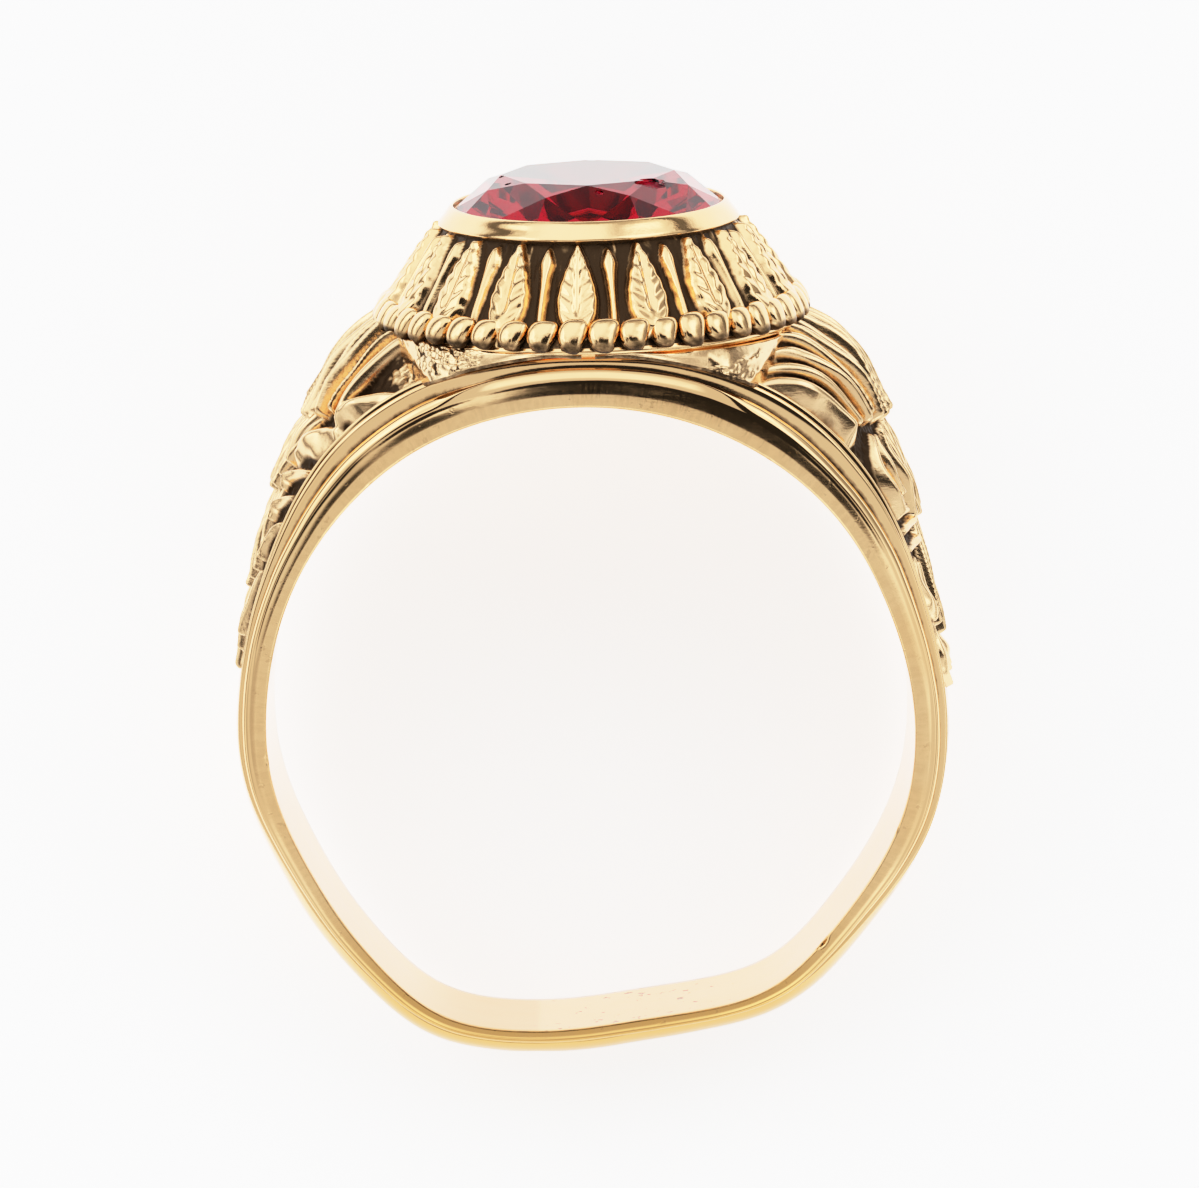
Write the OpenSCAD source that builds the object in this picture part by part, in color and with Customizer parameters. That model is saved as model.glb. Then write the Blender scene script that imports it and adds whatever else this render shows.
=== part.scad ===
// Man's gold ring with an oval red stone, cast in one piece, lying on its side.
// All sizes in millimetres. Each sub-part is drawn in the ring's own position:
// x across the finger, y along the finger, z from the hole's centre to the stone.
// The last step of each node lays the whole ring on its side.

/* [View] */
// Which piece to draw

/* [Finger hole] */
// Width of the finger hole
hole_width = 19.86; // [14:0.02:24]
// Height of the finger hole, from the palm side to the head
hole_height = 20.2; // [14:0.02:24]

/* [Shank] */
// Half the shank's width on the palm side
palm_half = 2.3; // [1.5:0.05:4]
// Half the shank's width under the head
head_half = 6.15; // [4:0.05:8]
// How the width grows from the palm to the head
taper_power = 1.5; // [1:0.1:3]
// Width of the edge moulding and rail under the head
edge_width = 1.05; // [0.5:0.05:2]

/* [Head] */
// Lean of the head against the shank, from wear, in degrees
head_lean = 1.6; // [0:0.1:4]
// Offset of the head from the hole's centre line
head_shift = 0.08; // [-0.5:0.01:0.5]
// Height of the plane of the bead border
border_level = 12.48; // [10:0.01:15]
// Half the width of the border, at the bead centres
border_across = 6.45; // [5:0.05:8]
// Half the length of the border along the finger
border_along = 7.5; // [6:0.05:9]
// Number of beads in the border
bead_count = 46; // [30:2:60]
// Width of one bead
bead_width = 0.81; // [0.4:0.02:1]
// Height of one bead
bead_height = 0.95; // [0.5:0.02:1.4]
// Height of the foot of the collar
collar_foot = 15.08; // [13:0.01:17]
// Half the width of the collar
collar_across = 4.62; // [4:0.01:6]
// Half the length of the collar along the finger
collar_along = 5.55; // [4.5:0.01:7]
// Height of the collar's wall
collar_wall = 0.46; // [0.2:0.01:1]

/* [Skirt ornament] */
// Number of leaves round the skirt
tongue_count = 18; // [12:1:24]
// Half the width of one leaf
tongue_half = 0.61; // [0.3:0.01:0.9]
// How far a leaf stands off the ground
tongue_rise = 0.38; // [0.2:0.01:0.6]
// Half the width of one dart
dart_half = 0.16; // [0.1:0.01:0.3]
// How far a dart stands off the ground
dart_rise = 0.3; // [0.1:0.01:0.5]

/* [Stone] */
// Half the width of the stone
stone_across = 4.15; // [3:0.01:5]
// Half the length of the stone along the finger
stone_along = 5.1; // [4:0.01:6]
// Height of the stone's girdle
girdle_level = 15.36; // [14:0.01:17]
// Thickness of the girdle
girdle_thick = 0.12; // [0.05:0.01:0.4]
// Height of the crown above the girdle
crown_rise = 1.02; // [0.5:0.01:1.6]
// Depth of the pavilion below the girdle
pavilion_drop = 3.3; // [2:0.05:4.5]
// Table width as a share of the stone's width
table_share = 0.64; // [0.5:0.01:0.75]
// Gap between the stone and its seat
seat_gap = 0.06; // [0.04:0.01:0.2]

/* [Rest] */
// Tilt of the finger axis when the ring rests on its side, in degrees
rest_tilt = 13.8; // [0:0.01:30]
// Roll to one side at rest, in degrees
rest_roll = -1.8; // [-10:0.01:10]
// Sideways shift that centres the resting ring
rest_side = 0.3; // [-3:0.01:3]
// Shift towards the back that centres the resting ring
rest_back = 3.02; // [-5:0.01:5]
// Lift that brings the resting ring up to the floor
rest_lift = 4.631; // [0:0.001:10]

/* [Hidden] */
rest_shift = [rest_side, rest_back, rest_lift];
gold = [0.83, 0.64, 0.34];
red = [0.62, 0.03, 0.07];
sections = 56;
head_sides = 40;

// Bends of the worn hole: [direction in degrees, depth outwards, spread in degrees]
DENTS = [
    [22, -0.13, 11],
    [120, 0.09, 12],
    [172, -0.1, 12],
    [209, -0.17, 10],
    [244, 0.38, 9],
    [279, -0.42, 12],
    [304, 0.22, 8],
    [345, 0.14, 11],
];

// Outside of the shank, as heights above the hole:
// [direction in degrees, edge moulding, rail above the moulding, ground at mid-width]
BAND = [
    [-90, 0.42, 0.00, 1.05],
    [-60, 0.42, 0.00, 1.05],
    [-40, 0.50, 0.10, 1.10],
    [-20, 0.74, 0.16, 1.15],
    [0, 0.78, 0.18, 1.15],
    [17, 0.82, 0.22, 1.15],
    [28, 0.92, 0.28, 1.45],
    [38, 0.96, 0.40, 2.05],
    [45, 1.00, 0.48, 2.60],
    [50, 1.08, 0.50, 3.00],
    [56, 1.16, 0.50, 3.40],
    [64, 1.24, 0.45, 3.60],
    [76, 1.24, 0.36, 2.00],
    [90, 1.15, 0.30, 1.60],
    [104, 1.16, 0.36, 2.00],
    [116, 1.18, 0.45, 3.40],
    [124, 1.12, 0.46, 2.90],
    [131, 1.06, 0.42, 2.40],
    [138, 0.96, 0.36, 1.95],
    [147, 0.84, 0.26, 1.50],
    [155, 0.78, 0.18, 1.15],
    [168, 0.74, 0.12, 1.00],
    [185, 0.72, 0.10, 1.05],
    [205, 0.58, 0.08, 1.05],
    [225, 0.50, 0.06, 1.05],
    [245, 0.42, 0.00, 1.05],
    [270, 0.42, 0.00, 1.05],
];

// One side of the outside section, from the face to mid-width:
// [share of the edge width from the face, moulding, rail, share of the dome]
EDGE = [
    [0.00, 0.60, 0.00, 0],
    [0.08, 0.88, 0.00, 0],
    [0.28, 1.00, 0.00, 0],
    [0.48, 1.00, 0.50, 0],
    [0.72, 1.00, 1.00, 0],
    [0.98, 1.00, 0.10, 0],
];

// Dome between the two rails: [share of the half width, share of the rise]
DOME = [
    [0.86, 0.46],
    [0.55, 0.84],
    [0.00, 1.00],
];

// Levels of the head's body, from inside the shank up to the foot of the collar:
// [height, half width, half length]
HEAD = [
    [8.60, 5.60, 4.40],
    [10.40, 5.85, 5.00],
    [11.82, 6.05, 5.35],
    [11.94, 6.38, 7.32],
    [12.02, 6.46, 7.46],
    [15.06, 4.40, 5.34],
];

// Collar round the stone: [height above its foot, inset from its outside]
COLLAR = [
    [-0.60, 0.30],
    [0.00, 0.00],
    [0.38, 0.02],
    [0.52, 0.16],
    [0.58, 0.60],
];

// Outline of a leaf: [share of its length, share of its half width, share of its rise]
LEAF = [
    [0.00, 0.70, 0.25],
    [0.40, 1.00, 0.75],
    [0.80, 0.78, 1.00],
    [1.00, 0.14, 0.70],
];

// Section of a leaf, across its run:
// [share of the half width, share of the rise, sink below the ground, lead towards the tip in degrees]
LEAF_SECTION = [
    [-1.00, 0.00, 0.18, 0.0],
    [-0.78, 0.66, 0.00, 0.6],
    [0.00, 1.00, 0.00, 1.3],
    [0.78, 0.66, 0.00, 0.5],
    [1.00, 0.00, 0.25, 0.1],
    [0.00, 0.00, 0.74, -0.8],
];

// Leaves of the right shoulder:
// [direction and y at the root, direction and y at the tip, half width, rise]
RIGHT_LEAVES = [
    [61.1, 0, 43.1, 0, 0.85, 0.5],
    [61.1, 1.6, 44.1, 1.4, 0.8, 0.5],
    [61.1, 3.2, 45.1, 2.7, 0.75, 0.65],
    [61.1, 4.1, 47.1, 3.7, 0.6, 0.7],
    [61.1, -1.6, 44.1, -1.4, 0.8, 0.5],
    [61.1, -3.2, 45.1, -2.7, 0.75, 0.65],
    [61.1, -4.1, 47.1, -3.7, 0.6, 0.7],
    [48.1, 0.8, 30.1, 0.7, 0.8, 0.5],
    [48.1, 2.3, 31.1, 2, 0.75, 0.55],
    [48.1, 3.6, 33.1, 3.1, 0.55, 0.55],
    [48.1, -0.8, 30.1, -0.7, 0.8, 0.5],
    [48.1, -2.3, 31.1, -2, 0.75, 0.55],
    [48.1, -3.6, 33.1, -3.1, 0.55, 0.55],
    [34.1, 0, 19.1, 0, 0.8, 0.42],
    [34.1, 1.5, 20.1, 1.3, 0.7, 0.45],
    [34.1, 2.8, 22.1, 2.3, 0.5, 0.45],
    [34.1, -1.5, 20.1, -1.3, 0.7, 0.45],
    [34.1, -2.8, 22.1, -2.3, 0.5, 0.45],
    [21.1, 0, 7.1, 0, 1.2, 0.35],
    [21.1, 1.9, 9.1, 1.1, 0.45, 0.38],
    [21.1, -1.9, 9.1, -1.1, 0.45, 0.38],
];

// Leaves of the left shoulder, in the same columns
LEFT_LEAVES = [
    [119.4, 1, 137.4, 0.8, 1, 0.6],
    [119.4, 2.8, 136.4, 2.4, 0.95, 0.7],
    [119.4, 4.05, 133.4, 3.5, 0.65, 0.8],
    [119.4, -1, 137.4, -0.8, 1, 0.6],
    [119.4, -2.8, 136.4, -2.4, 0.95, 0.7],
    [119.4, -4.05, 133.4, -3.5, 0.65, 0.8],
    [132.4, 0, 149.4, 0, 0.85, 0.5],
    [132.4, 1.7, 149.4, 1.5, 0.8, 0.5],
    [132.4, 3.3, 147.4, 2.8, 0.65, 0.6],
    [132.4, -1.7, 149.4, -1.5, 0.8, 0.5],
    [132.4, -3.3, 147.4, -2.8, 0.65, 0.6],
    [145.4, 0.8, 161.4, 0.7, 0.75, 0.42],
    [145.4, 2.3, 160.4, 1.9, 0.65, 0.45],
    [145.4, -0.8, 161.4, -0.7, 0.75, 0.42],
    [145.4, -2.3, 160.4, -1.9, 0.65, 0.45],
    [157.4, 0, 172.4, 0, 1, 0.35],
    [157.4, 1.5, 168.4, 1, 0.5, 0.36],
    [157.4, -1.5, 168.4, -1, 0.5, 0.36],
];

// Small scroll knobs on the sides: [direction, y, radius, rise of the centre above the ground]
KNOBS = [
    [4, 1.0, 0.8, -0.2],
    [4, -1.0, 0.8, -0.2],
    [-5, 0.0, 0.8, -0.25],
];

function total(v, i = 0) = i < len(v) ? v[i] + total(v, i + 1) : 0;

// An angle brought to between -180 and 180
function wrap(a) = a - 360 * round(a / 360);

// Hole radius in a direction
function hole_radius(a) =
    let (w = hole_width / 2, h = hole_height / 2)
    w * h / norm([h * cos(a), w * sin(a)])
    + total([for (d = DENTS) d[1] * exp(-pow(wrap(a - d[0]) / d[2], 2) / 2)]);

// Half the shank's width at a height
function half_width(z) =
    let (t = min(1, max(0, (z + hole_height / 2) / (hole_height + 1.2))))
    palm_half + (head_half - palm_half) * pow(t, taper_power);

// A column of BAND in a direction
function band(a, column) = lookup(wrap(a - 90) + 90, [for (b = BAND) [b[0], b[column]]]);

function polar(a, r, y) = [r * cos(a), y, r * sin(a)];

// Width of the edge at a half width
function edge_of(h) = edge_width * (0.4 + 0.6 * (h - palm_half) / (head_half - palm_half));

// Outside section in a direction, one side, as [height above the hole, y]
function outside(a) =
    let (
        m = band(a, 1), rail = band(a, 2), g = band(a, 3),
        h = half_width((hole_radius(a) + m / 2) * sin(a)),
        e = edge_of(h), w = h - 1.1 * e
    )
    concat(
        [for (p = EDGE) [m * p[1] + rail * p[2] + (g - m) * p[3], h - p[0] * e]],
        [for (p = DOME) [m + (g - m) * p[1], w * p[0]]]
    );

// Height of the ground above the hole at a direction and y
function ground(a, y) =
    let (s = outside(a), n = len(s))
    lookup(abs(y), [for (i = [n - 1:-1:0]) [s[i][1], s[i][0]]]);

// A point on the shank's ground, lifted along the radius
function on_shank(a, y, lift) = polar(a, hole_radius(a) + ground(a, y) + lift, y);

// Closed section of the shank in a direction
function section(a) =
    let (r = hole_radius(a), s = outside(a), n = len(s), h = s[0][1])
    concat(
        [polar(a, r, -h)],
        [for (p = s) polar(a, r + p[0], -p[1])],
        [for (i = [n - 2:-1:0]) polar(a, r + s[i][0], s[i][1])],
        [polar(a, r, h)]
    );

// Triangles of a grid of rows, each row closed on itself
function tube(rows, n, closed) = [
    for (i = [0:rows - (closed ? 1 : 2)], j = [0:n - 1])
        let (a = i * n + j, b = i * n + (j + 1) % n,
             c = (i + 1) % rows * n + j, d = (i + 1) % rows * n + (j + 1) % n)
        each [[a, d, b], [a, c, d]]
];

// Fans that close the two ends of a grid
function ends(rows, n) = concat(
    [for (j = [1:n - 2]) [0, j, j + 1]],
    [for (j = [1:n - 2]) let (k = (rows - 1) * n) [k, k + j + 1, k + j]]
);

module grid_solid(rows, closed = false) {
    n = len(rows[0]);
    polyhedron(
        points = [for (r = rows) each r],
        faces = closed ? tube(len(rows), n, true) : concat(tube(len(rows), n, false), ends(len(rows), n)),
        convexity = 8
    );
}

// One level of an oval stack
function oval(across, along, z) = [
    for (i = [0:head_sides - 1])
        let (a = i * 360 / head_sides)
        [across * cos(a), along * sin(a), z]
];

// Position evenly spaced along an oval
function even(i, count, across, along) =
    let (t = 360 * i / count)
    t - (along - across) / (along + across) / 2 * sin(2 * t) * 180 / PI;

// Stations of a leaf on the shank
function shank_leaf(v) = [
    for (p = LEAF)
        let (
            a = v[0] + (v[2] - v[0]) * p[0], y = v[1] + (v[3] - v[1]) * p[0],
            w = v[4] * p[1], top = v[5] * p[2], s = sign(v[2] - v[0])
        )
        [for (q = LEAF_SECTION) on_shank(a + s * q[3], y + s * q[0] * w, top * q[1] - q[2])]
];

// A point on the skirt: place round the oval, share of the way up, offset sideways, lift
function on_skirt(t, s, side, lift) =
    let (
        low = HEAD[len(HEAD) - 2], up = HEAD[len(HEAD) - 1],
        across = low[1] + (up[1] - low[1]) * s, along = low[2] + (up[2] - low[2]) * s,
        z = low[0] + (up[0] - low[0]) * s,
        out = [along * cos(t), across * sin(t)] / norm([along * cos(t), across * sin(t)]),
        lean = 36
    )
    [
        across * cos(t) - out[1] * side + out[0] * lift * cos(lean),
        along * sin(t) + out[0] * side + out[1] * lift * cos(lean),
        z + lift * sin(lean)
    ];

// Outline of a skirt leaf: [share of the way up, share of its half width, share of its rise]
TONGUE = [
    [0.30, 0.78, 0.95],
    [0.50, 1.00, 1.00],
    [0.80, 0.70, 0.95],
    [0.964, 0.13, 0.60],
];

// Section of a skirt leaf: [share of its half width, share of its rise, sink, lead up the skirt]
TONGUE_SECTION = [
    [-1.00, 0.00, 0.13, 0.000],
    [-0.75, 1.00, 0.00, 0.012],
    [0.00, 0.50, 0.00, -0.010],
    [0.75, 1.00, 0.00, 0.014],
    [1.00, 0.00, 0.10, 0.000],
    [0.00, 0.00, 0.30, 0.030],
];

// Slim dart between two skirt leaves, in the columns of TONGUE and of TONGUE_SECTION
DART = [
    [0.30, 0.40, 0.80],
    [0.91, 1.20, 0.90],
];
DART_SECTION = [
    [-1, 0, 0.10, 0.000],
    [0, 1, 0.00, 0.012],
    [1, 0, 0.10, 0.000],
    [0, 0, 0.30, 0.030],
];

// Stations of a skirt leaf or dart
function skirt_leaf(t, outline, section, half, rise) = [
    for (p = outline)
        [for (q = section) on_skirt(t, p[0] + q[3], q[0] * half * p[1], rise * p[2] * q[1] - q[2])]
];

module shank() {
    grid_solid([for (i = [0:sections - 1]) section(-90 + i * 360 / sections)], closed = true);
}

module shoulder_leaves() {
    for (v = concat(RIGHT_LEAVES, LEFT_LEAVES)) grid_solid(shank_leaf(v));
    for (k = KNOBS)
        translate(on_shank(k[0], k[1], k[3]))
            rotate([0, -k[0], 0])
                sphere(r = k[2], $fn = 8);
}

module head_body() {
    grid_solid([for (h = HEAD) oval(h[1], h[2], h[0])]);
}

module collar() {
    grid_solid([for (c = COLLAR) oval(collar_across - c[1], collar_along - c[1], collar_foot + c[0])]);
}

module skirt_ornament() {
    for (i = [0:tongue_count - 1]) {
        t = even(i + 0.32, tongue_count, 5.4, 6.3);
        u = even(i + 0.82, tongue_count, 5.4, 6.3);
        grid_solid(skirt_leaf(t, TONGUE, TONGUE_SECTION, tongue_half, tongue_rise));
        grid_solid(skirt_leaf(u, DART, DART_SECTION, dart_half, dart_rise));
    }
}

module bead_border() {
    for (i = [0:bead_count - 1]) {
        t = even(i, bead_count, border_across, border_along);
        dir = atan2(border_across * sin(t), border_along * cos(t));
        translate([border_across * cos(t), border_along * sin(t), border_level])
            rotate([0, 0, dir])
                rotate([0, -12.4, 0])
                    hull() {
                        translate([0, 0, bead_height / 2 - bead_width / 2])
                            sphere(d = bead_width, $fn = 6);
                        translate([0, 0, -bead_height / 2 + bead_width / 4])
                            sphere(d = bead_width / 2, $fn = 4);
                    }
    }
}

// Hole that keeps the head and the leaves out of the finger hole
module hole_clearance() {
    rotate([90, 0, 0])
        linear_extrude(height = 30, center = true)
            polygon([for (i = [0:sections - 1]) let (a = i * 360 / sections, r = hole_radius(a) + 0.17)
                [r * cos(a), r * sin(a)]]);
}

// Oval seat under the collar, open at the top and closed below
module seat() {
    g = seat_gap;
    low = girdle_level - pavilion_drop;
    grid_solid([
        oval(0.3, 0.37, low - 0.1),
        oval(stone_across * 0.6 + g, stone_along * 0.6 + g, girdle_level - pavilion_drop * 0.42 - g),
        oval(stone_across + g, stone_along + g, girdle_level - 0.1 - g),
        oval(stone_across + g, stone_along + g, girdle_level + girdle_thick + 0.02),
        oval(stone_across - 0.11, stone_along - 0.11, girdle_level + girdle_thick + g + 0.1),
        oval(stone_across - 0.02, stone_along - 0.02, collar_foot + collar_wall + 0.4)
    ]);
}

module head() {
    difference() {
        union() {
            head_body();
            collar();
            skirt_ornament();
            bead_border();
        }
        seat();
    }
}

// Leans the head with its stone against the hole's centre line
module on_head() {
    translate([head_shift, 0, border_level])
        rotate([0, -head_lean, 0])
            translate([0, 0, -border_level])
                children();
}

// Oval brilliant: a table, eight kites, eight stars and the girdle
module gem() {
    top = girdle_level + girdle_thick + crown_rise;
    hull()
        for (i = [0:7]) {
            a = i * 45;
            corner(table_share, a, top);
            corner(0.80, a + 22.5, girdle_level + girdle_thick + crown_rise * 0.60);
            corner(0.52, a + 22.5, girdle_level - pavilion_drop * 0.50);
            for (j = [0:3]) {
                corner(1, a + j * 11.25, girdle_level + girdle_thick);
                corner(1, a + j * 11.25, girdle_level);
            }
        }
}

module corner(share, a, z) {
    translate([stone_across * share * cos(a), stone_along * share * sin(a), z]) cube(0.004, center = true);
}

// The ring rests on its side, on the far edge of the border and of the palm side
module laid() {
    translate(rest_shift) rotate([0, rest_roll, 0]) rotate([-rest_tilt, 0, 0]) rotate([-90, 0, 180]) children();
}

module ring_body() {
    color(gold)
        laid() {
            shank();
            difference() {
                union() {
                    shoulder_leaves();
                    on_head() head();
                }
                hole_clearance();
            }
        }
}

module stone() {
    color(red) laid() on_head() gem();
}

ring_body();
stone();
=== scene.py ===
"""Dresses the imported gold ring: a worn cast ring with an oval red stone, lying on its side.

Every shape is worked out in the ring's own millimetres (x across the finger, y along the finger,
z from the middle of the hole to the stone) and laid on its side at the end, as the solids are.
"""

import bmesh
import bpy
import numpy as np
from mathutils import Matrix, Vector


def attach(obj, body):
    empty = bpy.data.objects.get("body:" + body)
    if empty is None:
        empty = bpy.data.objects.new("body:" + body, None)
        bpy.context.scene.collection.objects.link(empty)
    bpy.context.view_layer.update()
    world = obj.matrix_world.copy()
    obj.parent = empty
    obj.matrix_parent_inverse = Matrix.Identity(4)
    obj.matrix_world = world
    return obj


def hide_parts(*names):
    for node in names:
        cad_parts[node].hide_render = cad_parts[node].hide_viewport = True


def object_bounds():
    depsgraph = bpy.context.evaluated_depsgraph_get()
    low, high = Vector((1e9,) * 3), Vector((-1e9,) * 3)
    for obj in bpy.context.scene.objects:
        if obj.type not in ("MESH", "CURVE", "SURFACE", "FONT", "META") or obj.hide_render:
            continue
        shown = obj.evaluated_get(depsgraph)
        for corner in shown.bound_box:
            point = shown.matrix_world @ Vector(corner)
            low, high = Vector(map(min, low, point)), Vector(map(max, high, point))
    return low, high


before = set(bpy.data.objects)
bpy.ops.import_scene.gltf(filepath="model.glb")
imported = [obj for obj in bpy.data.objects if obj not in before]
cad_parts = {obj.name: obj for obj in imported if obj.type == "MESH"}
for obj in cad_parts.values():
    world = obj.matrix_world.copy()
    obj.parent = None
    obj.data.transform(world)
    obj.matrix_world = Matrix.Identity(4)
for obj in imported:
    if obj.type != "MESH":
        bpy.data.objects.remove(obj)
cad_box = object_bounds()
chance = np.random.default_rng(7)

# Sizes of the ring, in millimetres and degrees, the same as in the part's source.
HOLE_WIDTH, HOLE_HEIGHT = 19.86, 20.2
PALM_HALF, HEAD_HALF, TAPER_POWER, EDGE_WIDTH = 2.3, 6.15, 1.5, 1.05
HEAD_LEAN, HEAD_SHIFT = 1.6, 0.08
BORDER_LEVEL, BORDER_ACROSS, BORDER_ALONG, BEAD_COUNT = 12.48, 6.45, 7.5, 46
COLLAR_FOOT, COLLAR_ACROSS, COLLAR_ALONG = 15.08, 4.62, 5.55
LEAF_COUNT, LEAF_PHASE = 18, 0.32
STONE_ACROSS, STONE_ALONG = 4.15, 5.1
GIRDLE_LEVEL, GIRDLE_THICK, CROWN_RISE, PAVILION_DROP, TABLE_SHARE = 15.36, 0.12, 1.02, 3.3, 0.64
REST_TILT, REST_ROLL, REST_SHIFT = 13.8, -1.8, (0.30, 3.02, 4.631)

# Bends of the worn hole: direction, depth outwards, spread.
DENTS = np.array([
    [22, -0.13, 11], [120, 0.09, 12], [172, -0.1, 12], [209, -0.17, 10],
    [244, 0.38, 9], [279, -0.42, 12], [304, 0.22, 8], [345, 0.14, 11],
])

# Outside of the hoop: direction, edge moulding, rail above it, ground at mid-width.
BAND = np.array([
    [-90, 0.42, 0.00, 1.05], [-60, 0.42, 0.00, 1.05], [-40, 0.50, 0.10, 1.10], [-20, 0.74, 0.16, 1.15],
    [0, 0.78, 0.18, 1.15], [17, 0.82, 0.22, 1.15], [28, 0.92, 0.28, 1.45], [38, 0.96, 0.40, 2.05],
    [45, 1.00, 0.48, 2.60], [50, 1.08, 0.50, 3.00], [56, 1.16, 0.50, 3.40], [64, 1.24, 0.45, 3.60],
    [76, 1.24, 0.36, 2.00], [90, 1.15, 0.30, 1.60], [104, 1.16, 0.36, 2.00], [116, 1.18, 0.45, 3.40],
    [124, 1.12, 0.46, 2.90], [131, 1.06, 0.42, 2.40], [138, 0.96, 0.36, 1.95], [147, 0.84, 0.26, 1.50],
    [155, 0.78, 0.18, 1.15], [168, 0.74, 0.12, 1.00], [185, 0.72, 0.10, 1.05], [205, 0.58, 0.08, 1.05],
    [225, 0.50, 0.06, 1.05], [245, 0.42, 0.00, 1.05], [270, 0.42, 0.00, 1.05],
])


# Marks on the points of the gold pieces, read by their finishes, and the radius at which brushing runs.
MARKS = ("hollow", "satin", "warm_and_shade", "scored", "pitted")
BRUSH_RADIUS = 10.5


def rotation(axis, degrees):
    """Matrix of a turn about x, y or z."""
    return np.array(Matrix.Rotation(np.radians(degrees), 3, axis))


LAID = rotation("Y", REST_ROLL) @ rotation("X", -REST_TILT) @ rotation("Z", 180) @ rotation("X", -90)
LEANED = rotation("Y", -HEAD_LEAN)


def to_row(points):
    """The ring's own millimetres to the row's metres: turned on its side and lifted onto the floor."""
    return (points @ LAID.T + np.array(REST_SHIFT)) * 0.001


def on_head(points):
    """Leans the head about the middle of its border, against the hole's centre line."""
    foot = np.array([0, 0, BORDER_LEVEL])
    return (points - foot) @ LEANED.T + foot + np.array([HEAD_SHIFT, 0, 0])


def eased(x, table, column):
    """Cubic curve through a table's rows; the slope at a row is that of the line through its neighbours."""
    xs, ys = table[:, 0], table[:, column]
    slope = np.gradient(ys, xs)
    i = np.clip(np.searchsorted(xs, x) - 1, 0, len(xs) - 2)
    step = xs[i + 1] - xs[i]
    t = np.clip((x - xs[i]) / step, 0, 1)
    return (
        ys[i] * (1 + 2 * t) * (1 - t) ** 2 + ys[i + 1] * t**2 * (3 - 2 * t)
        + step * (slope[i] * t * (1 - t) ** 2 - slope[i + 1] * t**2 * (1 - t))
    )


def ramp(x, low, high):
    """Smooth step from 0 at low to 1 at high."""
    t = np.clip((x - low) / (high - low), 0, 1)
    return t * t * (3 - 2 * t)


def between(x, start, full, still, end):
    """1 from full to still, falling softly to 0 at start and at end."""
    return ramp(x, start, full) * ramp(x, end, still)


def bell(x, spread):
    """Bell curve: 1 at 0, and 1/e at the spread."""
    return np.exp(-((x / spread) ** 2))


def off_angle(a, direction):
    """Degrees from a direction, from -180 to 180."""
    return (a - direction + 180) % 360 - 180


def stacked(x, y, z):
    """Points of a grid from three coordinates, each given along the rows, along the columns or for all."""
    return np.stack(np.broadcast_arrays(x, y, z), -1)


def blur(values, reach, wraps=(False, False)):
    """Mean over a square window, taken twice; each axis wraps round or holds its last value."""
    for _ in range(2):
        for axis in (0, 1):
            pad = [(0, 0), (0, 0)]
            pad[axis] = (reach + 1, reach)
            total = np.cumsum(np.pad(values, pad, mode="wrap" if wraps[axis] else "edge"), axis=axis)
            n = values.shape[axis]
            high = np.take(total, np.arange(n) + 2 * reach + 1, axis=axis)
            low = np.take(total, np.arange(n), axis=axis)
            values = (high - low) / (2 * reach + 1)
    return values


def soft_noise(shape, cell, wraps=(False, False)):
    """Random field of about unit size, with lumps of about cell grid steps."""
    field = blur(chance.standard_normal(shape), cell, wraps)
    return field / (field.std() + 1e-9)


def hole_radius(a):
    """Radius of the worn hole: an ellipse with a soft bump or dent at each row of DENTS."""
    w, h, t = HOLE_WIDTH / 2, HOLE_HEIGHT / 2, np.radians(a)
    r = w * h / np.hypot(h * np.cos(t), w * np.sin(t))
    for direction, depth, spread in DENTS:
        r = r + depth * np.exp(-((off_angle(a, direction) / spread) ** 2) / 2)
    return r


def half_width(z):
    """Half the hoop's width at a height: it grows from the palm to the head by a power of the height."""
    t = np.clip((z + HOLE_HEIGHT / 2) / (HOLE_HEIGHT + 1.2), 0, 1)
    return PALM_HALF + (HEAD_HALF - PALM_HALF) * t**TAPER_POWER


def band(a):
    """Moulding, rail and ground heights in a direction."""
    b = (np.asarray(a) + 90) % 360 - 90
    return eased(b, BAND, 1), np.maximum(eased(b, BAND, 2), 0), eased(b, BAND, 3)


def widths(a):
    """Half width of the hoop, width of its edge, and half width of the ground between the rails."""
    m = band(a)[0]
    h = half_width((hole_radius(a) + m / 2) * np.sin(np.radians(a)))
    e = EDGE_WIDTH * (0.4 + 0.6 * (h - PALM_HALF) / (HEAD_HALF - PALM_HALF))
    return h, e, h - 1.1 * e


def polar(a, r, y):
    """Points at a direction round the hole, a radius, and a place along the finger."""
    t = np.radians(a)
    return stacked(r * np.cos(t), y, r * np.sin(t))


def dome(u):
    """Crown of the ground between the rails: a power curve from 0 at the rail to 1 at mid-width."""
    return np.clip(1 - np.clip(np.abs(u), 0, 1) ** 2.6, 0, 1) ** 0.7


def grid_faces(rows, cols, wrap_rows, wrap_cols):
    """Four-sided faces between neighbouring points of a grid."""
    i = np.arange(rows if wrap_rows else rows - 1)[:, None]
    j = np.arange(cols if wrap_cols else cols - 1)[None, :]
    i2, j2 = (i + 1) % rows, (j + 1) % cols
    corners = np.broadcast_arrays(i * cols + j, i2 * cols + j, i2 * cols + j2, i * cols + j2)
    return np.stack(corners, -1).reshape(-1, 4)


def inside_out(points, faces):
    """True if the volume that four-sided faces enclose, measured from their middle, comes out negative."""
    points = points - points.mean(0)
    a, b, c, d = (points[faces[:, k]] for k in range(4))
    return (a * np.cross(b, c)).sum() + (a * np.cross(c, d)).sum() <= 0


def put(name, data):
    """An object in the scene that carries a mesh or a camera."""
    carrier = bpy.data.objects.new(name, data)
    bpy.context.scene.collection.objects.link(carrier)
    return carrier


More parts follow.
